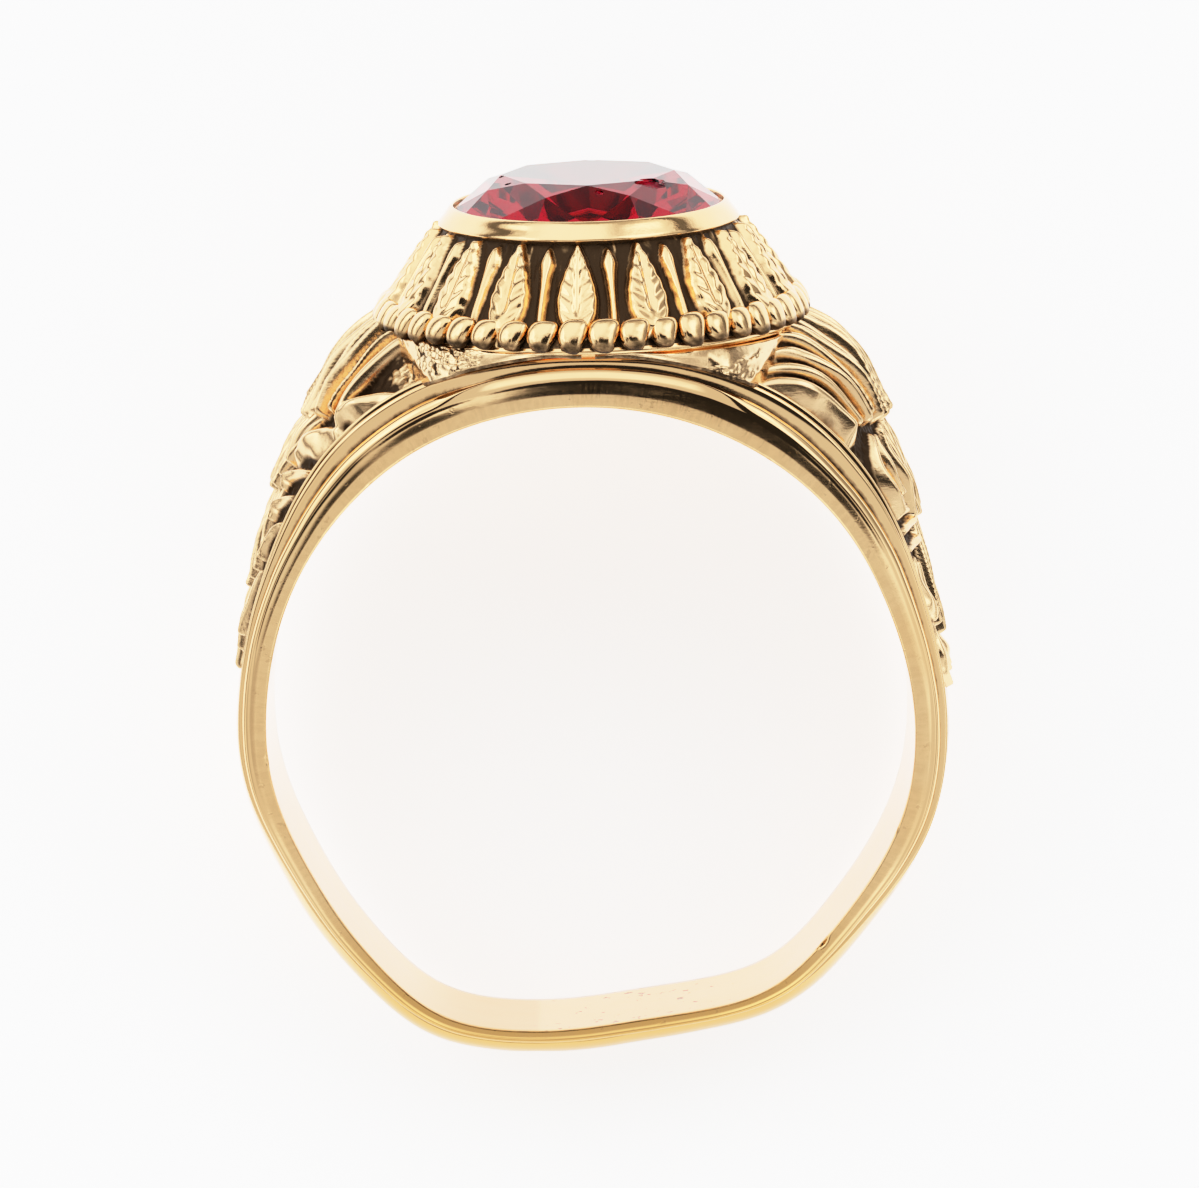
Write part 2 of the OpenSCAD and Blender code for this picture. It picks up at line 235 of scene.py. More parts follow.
def make_piece(name, points, faces, material, marks, fans=()):
    """A mesh from arrays of points and faces, in the row's frame, with its marks as point attributes.

    Its faces, and the fans that close its ends, are turned to point outwards. The brush mark is each
    point's direction round the hole at a fixed radius, with its own radius pressed to a tenth: noise
    read from it runs in fine lines across the edge of the hoop.
    """
    way = -1 if inside_out(points, faces) else 1
    polygons = faces[:, ::way].tolist() + [list(f)[::way] for f in fans]
    mesh = bpy.data.meshes.new(name)
    mesh.from_pydata(np.clip(to_row(points), *cad_box).tolist(), [], polygons)
    for mark in MARKS:
        layer = mesh.attributes.new(mark, "FLOAT", "POINT")
        values = marks.get(mark, np.zeros(len(points)))
        layer.data.foreach_set("value", np.asarray(values, dtype=np.float32).ravel())
    x, y, z = points.T
    radius = np.hypot(x, z) + 1e-6
    brush = np.stack([x / radius * BRUSH_RADIUS, z / radius * BRUSH_RADIUS, radius * 0.1 + y * 0.3], 1)
    layer = mesh.attributes.new("brush", "FLOAT_VECTOR", "POINT")
    layer.data.foreach_set("vector", (brush * 0.001).astype(np.float32).ravel())
    mesh.polygons.foreach_set("use_smooth", [True] * len(mesh.polygons))
    mesh.materials.append(material)
    piece = put(name, mesh)
    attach(piece, "root")
    return piece


def normals(grid):
    """Unit normals of a grid surface, from the cross product of its two run directions."""
    n = np.cross(np.gradient(grid, axis=0), np.gradient(grid, axis=1))
    return n / (np.linalg.norm(n, axis=-1, keepdims=True) + 1e-12)


# Materials


class Graph:
    """Short ways to add and join nodes in one node tree; a value fed in may be a number or a socket."""

    def __init__(self, tree):
        self.tree = tree

    def node(self, kind, **settings):
        n = self.tree.nodes.new(kind)
        for key, value in settings.items():
            setattr(n, key, value)
        return n

    def join(self, source, target):
        self.tree.links.new(source, target)

    def math(self, operation, a, b=0.0, c=0.0):
        n = self.node("ShaderNodeMath", operation=operation)
        for socket, value in zip(n.inputs, (a, b, c)):
            self.feed(value, socket)
        return n.outputs[0]

    def plus(self, a, b):
        return self.math("ADD", a, b)

    def less(self, a, b):
        return self.math("SUBTRACT", a, b)

    def times(self, a, b):
        return self.math("MULTIPLY", a, b)

    def feed(self, value, socket):
        if isinstance(value, bpy.types.NodeSocket):
            self.join(value, socket)
        else:
            socket.default_value = value

    def fill(self, node, values):
        for label, value in values.items():
            self.feed(value, node.inputs[label])
        return node

    def ramped(self, value, low, high, to_low=0.0, to_high=1.0):
        n = self.node("ShaderNodeMapRange", interpolation_type="SMOOTHSTEP")
        for socket, v in zip(n.inputs, (value, low, high, to_low, to_high)):
            self.feed(v, socket)
        return n.outputs[0]

    def noise(self, vector, scale, detail=2.0, roughness=0.5):
        values = {"Vector": vector, "Scale": scale, "Detail": detail, "Roughness": roughness}
        return self.fill(self.node("ShaderNodeTexNoise"), values).outputs[0]

    def mix(self, share, a, b):
        n = self.node("ShaderNodeMix", data_type="RGBA")
        return self.fill(n, {"Factor": share, "A": a, "B": b}).outputs["Result"]

    def mark(self, name):
        return self.node("ShaderNodeAttribute", attribute_name=name)

    def use(self, group, place):
        return self.fill(self.node("ShaderNodeGroup", node_tree=group), {"Place": place})

    def bump(self, height, depth):
        return self.fill(self.node("ShaderNodeBump"), {"Strength": 1.0, "Distance": depth, "Height": height})

    def mapped(self, vector, scale, turn=(0, 0, 0)):
        values = {"Vector": vector, "Scale": scale, "Rotation": np.radians(turn)}
        return self.fill(self.node("ShaderNodeMapping"), values).outputs[0]


def socket_group(name, vectors, numbers, results):
    """An empty shader node group: its graph, what it is given (vectors, and numbers with their usual
    values), and the numbers it puts out."""
    group = bpy.data.node_groups.new(name, "ShaderNodeTree")
    for label in vectors:
        group.interface.new_socket(label, in_out="INPUT", socket_type="NodeSocketVector")
    for label, value in numbers.items():
        group.interface.new_socket(label, in_out="INPUT", socket_type="NodeSocketFloat").default_value = value
    for label in results:
        group.interface.new_socket(label, in_out="OUTPUT", socket_type="NodeSocketFloat")
    return Graph(group), group.nodes.new("NodeGroupInput").outputs, group.nodes.new("NodeGroupOutput").inputs


def scratches_group():
    """Fine scratches: four stretched noises turned apart, each kept near its middle value only, as lines."""
    g, given, out = socket_group("fine scratches", ["Place"], {"Amount": 1.0}, ["Height", "Lines"])
    total = None
    for turn, scale in ((17, 5200), (74, 6100), (139, 4700), (101, 3400)):
        stretched = g.mapped(given["Place"], (0.13, 1, 0.35), (0, 0, turn))
        value = g.noise(stretched, scale, 1.0)
        line = g.ramped(g.math("ABSOLUTE", g.less(value, 0.5)), 0.0, 0.035, 1.0, 0.0)
        total = line if total is None else g.math("MAXIMUM", total, line)
    gate = g.ramped(g.noise(given["Place"], 900), 0.38, 0.66)
    lines = g.times(g.times(total, gate), given["Amount"])
    g.join(lines, out["Lines"])
    g.join(g.times(lines, -1.0), out["Height"])
    return g.tree


def brushed_group():
    """Brushed face: short hair strokes where a fine noise stands high, a mottled tone, and small pits."""
    g, given, out = socket_group("brushed face", ["Place", "Brush"], {}, ["Hairs", "Mottle", "Pits"])
    place = given["Place"]
    slanted = g.mapped(given["Brush"], (1, 1, 0.7), (9, 0, 0))
    hairs = g.ramped(g.noise(slanted, 19000, 0.0), 0.575, 0.64)
    gate = g.ramped(g.noise(place, 1500, 3.0), 0.34, 0.56)
    g.join(g.times(hairs, gate), out["Hairs"])
    g.join(g.ramped(g.noise(place, 2300, 3.0, 0.60), 0.625, 0.665), out["Pits"])
    mottle = g.times(g.noise(place, 2600, 4.0, 0.65), 0.6)
    mottle = g.plus(mottle, g.times(g.noise(given["Brush"], 7000, 2.0), 0.4))
    g.join(g.ramped(mottle, 0.40, 0.62), out["Mottle"])
    return g.tree


def patina_group():
    """Dark antique finish: the hollow mark, broken up by two noises and pressed to a soft-edged mask."""
    g, given, out = socket_group("dark patina", ["Place"], {"Hollow": 0.0, "Amount": 1.0}, ["Mask", "Grime"])
    place = given["Place"]
    broken = g.plus(g.noise(place, 2600, 4.0, 0.7), g.noise(place, 700, 2.0))
    broken = g.times(g.less(broken, 1.0), g.ramped(given["Hollow"], 0.05, 0.4, 0.0, 0.7))
    mask = g.ramped(g.plus(given["Hollow"], broken), 0.20, 0.85)
    g.join(g.times(mask, given["Amount"]), out["Mask"])
    g.join(g.ramped(g.noise(place, 5200, 3.0, 0.6), 0.45, 0.75), out["Grime"])
    return g.tree


def cast_skin_group():
    """Skin of a worn casting: long shallow waves with a fine grain as a height, and a slow change of tone."""
    g, given, out = socket_group("cast skin", ["Place"], {"Grain": 0.3}, ["Height", "Tone"])
    place = given["Place"]
    waves = g.noise(place, 650, 2.0, 0.5)
    grain = g.noise(place, 7000, 3.0, 0.6)
    g.join(g.plus(waves, g.times(grain, given["Grain"])), out["Height"])
    g.join(g.noise(place, 240, 3.0, 0.6), out["Tone"])
    return g.tree


SCRATCHES, BRUSHING, DARKENING, SKIN = scratches_group(), brushed_group(), patina_group(), cast_skin_group()

# Colours of the gold: two tones of the cast metal, a pale gold painted on as light, warm inside the hoop and
# painted shade at the palm and on the shoulders, grime, brushing, strokes and pits, and the dark patina.
GOLD_DEEP, GOLD_LIGHT = (0.93, 0.575, 0.275, 1), (0.94, 0.605, 0.305, 1)
GOLD_PAINTED_LIGHT, GOLD_WARM_AND_SHADE = (0.96, 0.76, 0.53, 1), (0.62, 0.33, 0.09, 1)
GRIME, BRUSHED = (0.35, 0.19, 0.09, 1), (0.60, 0.37, 0.17, 1)
STRUCK, PATINA = (0.14, 0.09, 0.045, 1), (0.045, 0.024, 0.010, 1)

# Colours of the stone: clear, rough in its chips, and the cool tint of its reflections.
CLEAR_RED, CHIPPED_RED, RED_GLINT = (0.33, 0.003, 0.012, 1), (0.30, 0.03, 0.06, 1), (0.22, 0.225, 0.28, 1)


def new_finish(name):
    """A new material with its graph, its shader, and the place of each point on the object."""
    material = bpy.data.materials.new(name)
    material.use_nodes = True
    g = Graph(material.node_tree)
    shader = material.node_tree.nodes["Principled BSDF"]
    return material, g, shader, g.node("ShaderNodeTexCoord").outputs["Object"]


def gold(name, rough, satin_rough, scratch_depth, skin_depth, patina, grain=0.3, painted_lighter=0.0, struck=False):
    """Worn yellow gold: polished, satin where marked, dark in its hollows, with scratches and a cast skin;
    struck gold also has the hair strokes and pits of its scored and pitted marks."""
    material, g, shader, place = new_finish(name)
    marks = {m: g.mark(m).outputs["Fac"] for m in MARKS}
    lines, brushed, dark, skin = (g.use(group, place) for group in (SCRATCHES, BRUSHING, DARKENING, SKIN))
    g.fill(brushed, {"Brush": g.mark("brush").outputs["Vector"]})
    g.fill(lines, {"Amount": g.plus(0.35, g.times(marks["satin"], 0.65))})
    g.fill(dark, {"Hollow": marks["hollow"], "Amount": patina})
    g.fill(skin, {"Grain": grain})

    tone = g.mix(g.ramped(skin.outputs["Tone"], 0.35, 0.7), GOLD_DEEP, GOLD_LIGHT)
    # painted light: a share of pale gold lightens the whole finish, as for lit shoulders
    tone = g.mix(painted_lighter, tone, GOLD_PAINTED_LIGHT)
    # the warm mark: the metal's own warm tone in one place, painted shade in others
    tone = g.mix(marks["warm_and_shade"], tone, GOLD_WARM_AND_SHADE)
    tone = g.mix(g.times(dark.outputs["Grime"], g.times(marks["hollow"], 0.25)), tone, GRIME)
    tone = g.mix(g.times(brushed.outputs["Mottle"], g.times(marks["satin"], 0.22)), tone, BRUSHED)
    relief = lines.outputs["Height"]
    if struck:
        hairs = g.times(brushed.outputs["Hairs"], marks["scored"])
        pits = g.times(brushed.outputs["Pits"], marks["pitted"])
        tinted = g.math("MAXIMUM", g.times(hairs, 0.75), g.times(pits, 0.8))
        tone = g.mix(tinted, tone, STRUCK)
        sunk = g.plus(g.times(hairs, 2.0), g.times(pits, 20.0))
        relief = g.less(relief, sunk)
    polish = g.plus(rough, g.times(marks["satin"], satin_rough - rough))
    worn = g.plus(polish, g.times(lines.outputs["Lines"], 0.08))
    cast, scratched = g.bump(skin.outputs["Height"], skin_depth), g.bump(relief, scratch_depth)
    g.fill(scratched, {"Normal": cast.outputs["Normal"]})
    g.fill(shader, {
        "Base Color": g.mix(dark.outputs["Mask"], tone, PATINA),
        "Metallic": g.less(1.0, g.times(dark.outputs["Mask"], 0.15)),
        "Roughness": g.plus(worn, g.times(dark.outputs["Mask"], 0.4)),
        "Normal": scratched.outputs["Normal"],
    })
    return material


def red_stone():
    """Clear deep red stone, cut and polished, with faint wear on its facets."""
    material, g, shader, place = new_finish("red stone")
    chipped = g.mark("hollow").outputs["Fac"]
    wear = g.times(g.use(SCRATCHES, place).outputs["Lines"], 0.05)
    g.fill(shader, {
        "Base Color": g.mix(chipped, CLEAR_RED, CHIPPED_RED), "Transmission Weight": 1.0, "IOR": 1.5,
        "Roughness": g.plus(wear, g.times(chipped, 0.3)), "Specular Tint": RED_GLINT,
    })
    return material


WORN = gold("worn polished gold", 0.06, 0.15, 4e-7, 7e-6, 1.0, grain=0.03, struck=True)
ANTIQUE = gold("antiqued cast gold", 0.12, 0.30, 1.6e-6, 9e-6, 1.0, grain=0.5)
# The shoulder gold is the antiqued gold painted lighter: a lit copy of it.
SHOULDER = gold("shoulder gold painted lighter", 0.12, 0.30, 1.6e-6, 9e-6, 1.0, grain=0.5, painted_lighter=0.18)
BRIGHT = gold("bright collar gold", 0.09, 0.2, 1.2e-6, 1.0e-5, 0.8)
RED = red_stone()


# The hoop

# Rails beyond the round of the hoop's edge: share of the edge width in from the face,
# share of the moulding, share of the rail.
RAILS = np.array([
    [0.510, 0.985, 0.00], [0.525, 0.960, 0.00], [0.538, 0.965, 0.08], [0.534, 0.990, 0.45],
    [0.540, 1.000, 0.80], [0.565, 1.000, 0.97], [0.620, 1.000, 1.03], [0.670, 1.000, 1.00],
    [0.700, 1.000, 0.90], [0.715, 1.000, 0.60], [0.735, 1.000, 0.42], [0.750, 1.000, 0.46],
    [0.748, 1.000, 0.85], [0.760, 1.000, 1.20], [0.800, 1.000, 1.31], [0.845, 1.000, 1.28],
    [0.865, 1.000, 1.05], [0.880, 1.000, 0.60], [0.910, 1.000, 0.25], [0.950, 1.000, 0.10],
    [1.000, 1.000, 0.05], [1.080, 1.000, 0.00],
])


def edge_profile(under_head):
    """Edge of the hoop from the hole outwards: small corner, flat face, worn chamfer, round, rails.

    The round is an elliptical quarter; under the head it is a low bead instead, which comes forward again.
    """
    corner = [[0.040, 0.015], [0.012, 0.045], [0.000, 0.090], [0.000, 0.170], [0.000, 0.250]]
    flat = [[0.000, 0.36], [0.005, 0.41], [0.040, 0.52], [0.080, 0.63]]
    if under_head:
        bent = [
            [0.118, 0.735], [0.108, 0.770], [0.084, 0.82], [0.060, 0.87], [0.036, 0.92], [0.016, 0.965],
            [0.008, 0.99], [0.014, 1.010], [0.040, 1.018], [0.100, 1.012], [0.220, 1.000], [0.360, 0.990],
            [0.500, 0.985],
        ]
    else:
        turn = np.radians(np.linspace(0, 90, 13))
        bent = np.stack([0.115 + 0.385 * (1 - np.cos(turn)), 0.70 + 0.30 * np.sin(turn)], 1)
    face = np.concatenate([corner, flat, bent])
    return np.concatenate([np.pad(face, ((0, 0), (0, 1))), RAILS])


# The edge beside the head and under it, point for point.
EDGE, EDGE_UNDER_HEAD = edge_profile(False), edge_profile(True)

# Steps of the section across the hole and over half the ground between the rails, and round the hoop.
HOLE_STEPS, GROUND_STEPS, ROUND_STEPS = 19, 12, 560

# Nicks on the near edge of the hole: direction, depth, spread in degrees. They reach the first points of
# the section by these shares.
NICKS = np.array([[-44.4, 0.16, 0.9], [131, 0.03, 0.4], [57, 0.03, 0.4], [187, 0.05, 0.8], [-20, 0.03, 0.6]])
NICK_SHARES = (1, 1, 0.8, 0.3, 0.1)


def below_head(a):
    """1 for directions under the head, falling softly to 0 beside it."""
    return ramp(np.abs(a - 89), 27, 15)


def hoop_section(a):
    """Closed section at each direction: up one edge, over the ground, down the other edge, across the hole.

    It gives places along the finger, heights above the hole, and the count of points on half the outside.
    """
    a = a[:, None]
    m, rail, g = band(a)
    h, e, w = widths(a)
    inset, up_share = (EDGE[:, k] + (EDGE_UNDER_HEAD[:, k] - EDGE[:, k]) * below_head(a) for k in (0, 1))
    y_edge = h - inset * e
    up_edge = m * up_share + rail * EDGE[:, 2]
    u = np.sin(np.linspace(1, 0, GROUND_STEPS) * np.pi / 2) * 0.98
    sunk = 0.45 * (between(a, 4, 9, 70, 78) + between(a, 102, 110, 168, 174))
    up_top = m + (g - m) * dome(u) - sunk * dome(u) ** 0.5
    y_top = u * w
    y_half = np.concatenate([y_edge, y_top], 1)
    up_half = np.concatenate([up_edge, np.broadcast_to(up_top, y_top.shape)], 1)
    y_hole = np.linspace(-1, 1, HOLE_STEPS)[None, :] * (h - 0.07 * e)
    y = np.concatenate([-y_half, y_half[:, -2::-1], y_hole[:, ::-1]], 1)
    up = np.concatenate([up_half, up_half[:, -2::-1], np.zeros_like(y_hole)], 1)
    return y, up, y_half.shape[1]


def both_edges(values, in_hole=0.0):
    """A mark along the section: over one edge, back over the other, then one value across the hole."""
    return np.concatenate([values, values[-2::-1], np.full(HOLE_STEPS, in_hole)])[None, :]


def hoop():
    """The hoop: its section carried round the hole, with shallow wear, nicks and a sizing seam."""
    a = np.linspace(-90, 270, ROUND_STEPS, endpoint=False)
    y, up, half = hoop_section(a)
    wear = soft_noise(y.shape, 4, (True, True)) * 0.004 + soft_noise(y.shape, 12, (True, True)) * 0.012
    near = np.zeros(y.shape)
    near[:, :len(NICK_SHARES)] = NICK_SHARES
    for direction, depth, spread in NICKS:
        y = y + near * (depth * bell(off_angle(a, direction), spread))[:, None]
    grid = polar(a[:, None], hole_radius(a)[:, None] + up + wear * (up > 0.02), y)
    # marks by the number of a point on the section: dark grooves beside the rails, the corner, the near face
    k = np.arange(half)
    grooves = [21, 22.5, 24, 25, 30, 31, 32, 33, 37, 40, 43]
    line = both_edges(np.interp(k, grooves, [0, 0.8, 0.7, 0, 0.1, 0.9, 0.9, 0.1, 0.1, 0.8, 0.6]))
    # painted light: under the head the dark grooves are weakened, lightening the rails against the shade of
    # the ledge
    line = line * (np.clip(band(a)[1] / 0.25, 0, 1) * (1 - 0.75 * below_head(a)))[:, None]
    corner = both_edges(np.interp(k, [0, 1, 2, 3], [0.9, 0.9, 0.3, 0]))
    satin = both_edges(ramp(k, 9, 6), 0.1)
    scored = both_edges(np.interp(k, [3, 4, 5, 6, 7, 8, 9], [0, 0.10, 0.45, 1.0, 1.0, 0.35, 0]))
    inside = both_edges(np.zeros(half), 1.0)
    a = a[:, None]
    b = off_angle(a, 0)
    seam = between(b, -99.6, -99.0, -98.4, -97.8) * inside
    palm = ramp(np.abs(b + 90), 62, 30) * (1 - inside)
    face = 0.22 * satin * (1 - inside)
    marks = {
        "hollow": np.clip(line + 0.6 * palm * corner, 0, 1),
        "satin": satin + 0 * y,
        "scored": 0.75 * scored * between(a, 46, 60, 84, 100),
        # the peach patch inside the hoop is the metal's own colour; the outside at the palm is painted shade
        # in the warm colour
        "warm_and_shade": 0.32 * between(b, -124, -112, -99.2, -98.6) * inside + 0.8 * palm,
        "pitted": between(b, -100, -97, -66, -60) * inside + 0.8 * seam + face,
    }
    faces = grid_faces(*y.shape, True, True)
    return make_piece("hoop", grid.reshape(-1, 3), faces, WORN, marks)


# Carved shoulders

# Mean radius of the carved ground, at which directions become lengths round the ring, and the grid's
# step in degrees and its columns.
CARVED_RADIUS, SHOULDER_STEP, SHOULDER_COLUMNS = 12.4, 0.29, 321


def bend_points(path, count=22):
    """Points on a curve with three control points: (1-t)^2 root + 2t(1-t) bend + t^2 tip."""
    t = np.linspace(0, 1, count)[:, None]
    root, bend, tip = (np.array(p, float) for p in path)
    return (1 - t) ** 2 * root + 2 * t * (1 - t) * bend + t**2 * tip


def carve(height, x, y, path, half, rise, flank, narrow, root=0.55):
    """Raises one lobe: height = rise * (grows from root to tip) * (1 - (offset / half width)^2.6)^0.7.

    A lobe with a flank also falls as a flat face towards the rail; where lobes overlap the higher one stays.
    """
    line = bend_points(path)
    middle, reach = line.mean(0), np.ptp(line, axis=0) / 2 + half * 5
    near = (np.abs(x - middle[0]) < reach[0]) & (np.abs(y - middle[1]) < reach[1])
    px, py = x[near], y[near]
    best = np.full(px.shape, 1e9)
    along = np.zeros(px.shape)
    out = np.zeros(px.shape, bool)
    steps = len(line) - 1
    for k in range(steps):
        start, run = line[k], line[k + 1] - line[k]
        length = (run**2).sum()
        t = np.clip(((px - start[0]) * run[0] + (py - start[1]) * run[1]) / length, 0, 1)
        dx, dy = px - start[0] - t * run[0], py - start[1] - t * run[1]
        d = np.hypot(dx, dy)
        closer = d < best
        best = np.where(closer, d, best)
        along = np.where(closer, (k + t) / steps, along)
        out = np.where(closer, np.abs(py) > np.abs(start[1] + t * run[1]), out)
    width = half * (0.6 + 0.4 * ramp(along, 0, 0.3)) * (1 - narrow * ramp(along, 0.35, 1.0))
    u = best / width
    body = np.clip(1 - u**2.6, 0, 1) ** 0.7
    slope = np.clip(1 - np.clip(u - 0.35, 0, 9) / (0.65 + 3.0 * flank), 0, 1) * (best < half * 5)
    body = np.where(out & (flank > 0), np.maximum(body, slope), body)
    grown = rise * (root + (1 - root) * ramp(along, 0.0, 0.75))
    grown = grown * (1 + 0.10 * np.sin(9 * along + 40 * line[0, 1]))
    raised = np.where(body > 0, grown * body, -1)
    height[near] = np.maximum(height[near], raised)


def granules(x, y, pitch, size):
    """Stippled ground: a round grain in each cell of a square lattice, moved off its middle by the
    fraction of a large sine of the cell's place."""
    cx, cy = np.floor(x / pitch), np.floor(y / pitch)
    best = np.zeros(x.shape)
    for i in (-1, 0, 1):
        for j in (-1, 0, 1):
            kx, ky = cx + i, cy + j
            moved = (np.sin(kx * p + ky * q) * 43758.5453 for p, q in ((127.1, 311.7), (269.5, 183.3)))
            gx, gy = ((k + 0.5 + 0.7 * (m - np.floor(m) - 0.5)) * pitch for k, m in zip((kx, ky), moved))
            best = np.maximum(best, np.sqrt(np.clip(1 - ((x - gx) ** 2 + (y - gy) ** 2) / size**2, 0, 1)))
    return best


# Lobes of the right shoulder: direction and share of the way to the rail, at root, bend and tip, then
# half width, rise, reach of its flat flank, and narrowing to the tip. Both sides have them.
RIGHT_LOBES = np.array([
    [65.0, 0.93, 59.5, 0.73, 49.6, 0.74, 0.24, 0.60, 1.0, 0.30],
    [64.5, 0.82, 60.5, 0.63, 49.0, 0.67, 0.24, 0.56, 0.0, 0.40],
    [64.0, 0.69, 60.5, 0.53, 48.4, 0.60, 0.27, 0.66, 0.0, 0.45],
    [65.0, 0.56, 61.0, 0.42, 48.6, 0.535, 0.24, 0.58, 0.0, 0.45],
    [64.0, 0.44, 58.0, 0.34, 47.2, 0.45, 0.22, 0.72, 0.0, 0.45],
    [66.0, 0.33, 57.0, 0.24, 47.0, 0.36, 0.15, 0.58, 0.0, 0.30],
    [66.0, 0.24, 58.0, 0.13, 46.2, 0.27, 0.17, 0.72, 0.0, 0.30],
    [64.0, 0.14, 57.0, 0.06, 47.5, 0.17, 0.13, 0.60, 0.0, 0.30],
    [66.0, 0.04, 57.0, 0.00, 46.0, 0.08, 0.17, 0.74, 0.0, 0.30],
    [45.6, 0.58, 42.0, 0.78, 34.6, 0.74, 0.15, 0.50, 0.6, 0.30],
    [37.5, 0.54, 33.5, 0.60, 34.5, 0.74, 0.13, 0.46, 0.0, 0.10],
    [45.0, 0.50, 40.5, 0.62, 36.5, 0.58, 0.17, 0.46, 0.0, 0.60],
    [45.0, 0.38, 40.0, 0.44, 32.5, 0.42, 0.17, 0.56, 0.0, 0.40],
    [45.0, 0.27, 40.0, 0.31, 32.0, 0.30, 0.17, 0.52, 0.0, 0.40],
    [45.0, 0.16, 40.0, 0.18, 31.5, 0.18, 0.17, 0.56, 0.0, 0.40],
    [45.0, 0.04, 40.0, 0.05, 31.0, 0.05, 0.17, 0.54, 0.0, 0.40],
    [31.4, 0.74, 31.6, 0.52, 31.8, 0.36, 0.20, 0.40, 0.0, 0.00],
    [28.2, 0.72, 28.4, 0.50, 28.6, 0.34, 0.16, 0.38, 0.0, 0.00],
    [44.0, 0.10, 30.0, 0.34, 17.0, 0.46, 0.13, 0.44, 0.0, 0.30],
    [40.0, 0.02, 28.0, 0.20, 14.0, 0.28, 0.14, 0.46, 0.0, 0.30],
    [34.0, 0.00, 24.0, 0.06, 12.0, 0.10, 0.15, 0.46, 0.0, 0.30],
    [26.5, 0.66, 22.0, 0.80, 17.0, 0.62, 0.18, 0.34, 0.0, 0.40],
    [25.0, 0.50, 20.0, 0.60, 15.5, 0.50, 0.18, 0.36, 0.0, 0.40],
    [14.5, 0.34, 9.0, 0.70, 4.0, 0.34, 0.16, 0.34, 0.0, 0.20],
    [11.5, 0.20, 9.0, 0.44, 6.0, 0.22, 0.17, 0.36, 0.0, 0.20],
    [12.5, 0.02, 9.5, 0.08, 6.5, 0.00, 0.28, 0.40, 0.0, 0.00],
])

# Lobes of the left shoulder, in the same columns.
LEFT_LOBES = np.array([
    [111.0, 0.58, 119.0, 0.62, 127.5, 0.755, 0.29, 0.60, 0.0, 0.35],
    [112.5, 0.49, 119.5, 0.53, 128.2, 0.70, 0.10, 0.70, 0.0, 0.20],
    [118.2, 0.93, 124.0, 0.77, 128.2, 0.76, 0.25, 0.60, 0.9, 0.45],
    [113.5, 0.31, 121.0, 0.33, 130.0, 0.58, 0.15, 0.72, 0.0, 0.25],
    [112.0, 0.21, 122.0, 0.22, 131.0, 0.45, 0.12, 0.64, 0.0, 0.30],
    [113.0, 0.13, 122.0, 0.13, 132.0, 0.36, 0.21, 0.72, 0.0, 0.35],
    [112.0, 0.03, 122.0, 0.02, 133.0, 0.18, 0.12, 0.62, 0.0, 0.30],
    [129.8, 0.80, 132.4, 0.62, 136.6, 0.58, 0.24, 0.56, 1.0, 0.35],
    [130.5, 0.56, 134.0, 0.50, 138.5, 0.50, 0.16, 0.54, 0.0, 0.30],
    [130.0, 0.40, 134.0, 0.38, 141.0, 0.42, 0.16, 0.54, 0.0, 0.30],
    [130.0, 0.27, 135.0, 0.26, 143.0, 0.32, 0.16, 0.54, 0.0, 0.30],
    [130.0, 0.14, 135.0, 0.14, 144.0, 0.20, 0.16, 0.54, 0.0, 0.30],
    [130.0, 0.03, 135.0, 0.03, 144.0, 0.07, 0.16, 0.54, 0.0, 0.30],
    [137.4, 0.80, 139.4, 0.56, 142.2, 0.60, 0.15, 0.54, 0.2, 0.60],
    [142.2, 0.76, 144.2, 0.54, 147.4, 0.58, 0.13, 0.48, 0.2, 0.60],
    [142.0, 0.46, 147.0, 0.44, 153.5, 0.60, 0.15, 0.42, 0.0, 0.40],
    [142.0, 0.32, 148.0, 0.32, 156.0, 0.44, 0.15, 0.44, 0.0, 0.40],
    [142.0, 0.18, 149.0, 0.18, 158.0, 0.30, 0.15, 0.44, 0.0, 0.40],
    [142.0, 0.05, 150.0, 0.05, 160.0, 0.14, 0.16, 0.44, 0.0, 0.40],
    [147.0, 0.74, 149.5, 0.58, 153.5, 0.66, 0.11, 0.40, 0.2, 0.60],
    [156.0, 0.56, 160.0, 0.50, 167.0, 0.46, 0.15, 0.34, 0.0, 0.40],
    [157.0, 0.20, 163.0, 0.26, 170.0, 0.26, 0.17, 0.34, 0.0, 0.40],
    [160.0, 0.02, 166.0, 0.04, 174.0, 0.04, 0.17, 0.32, 0.0, 0.40],
])


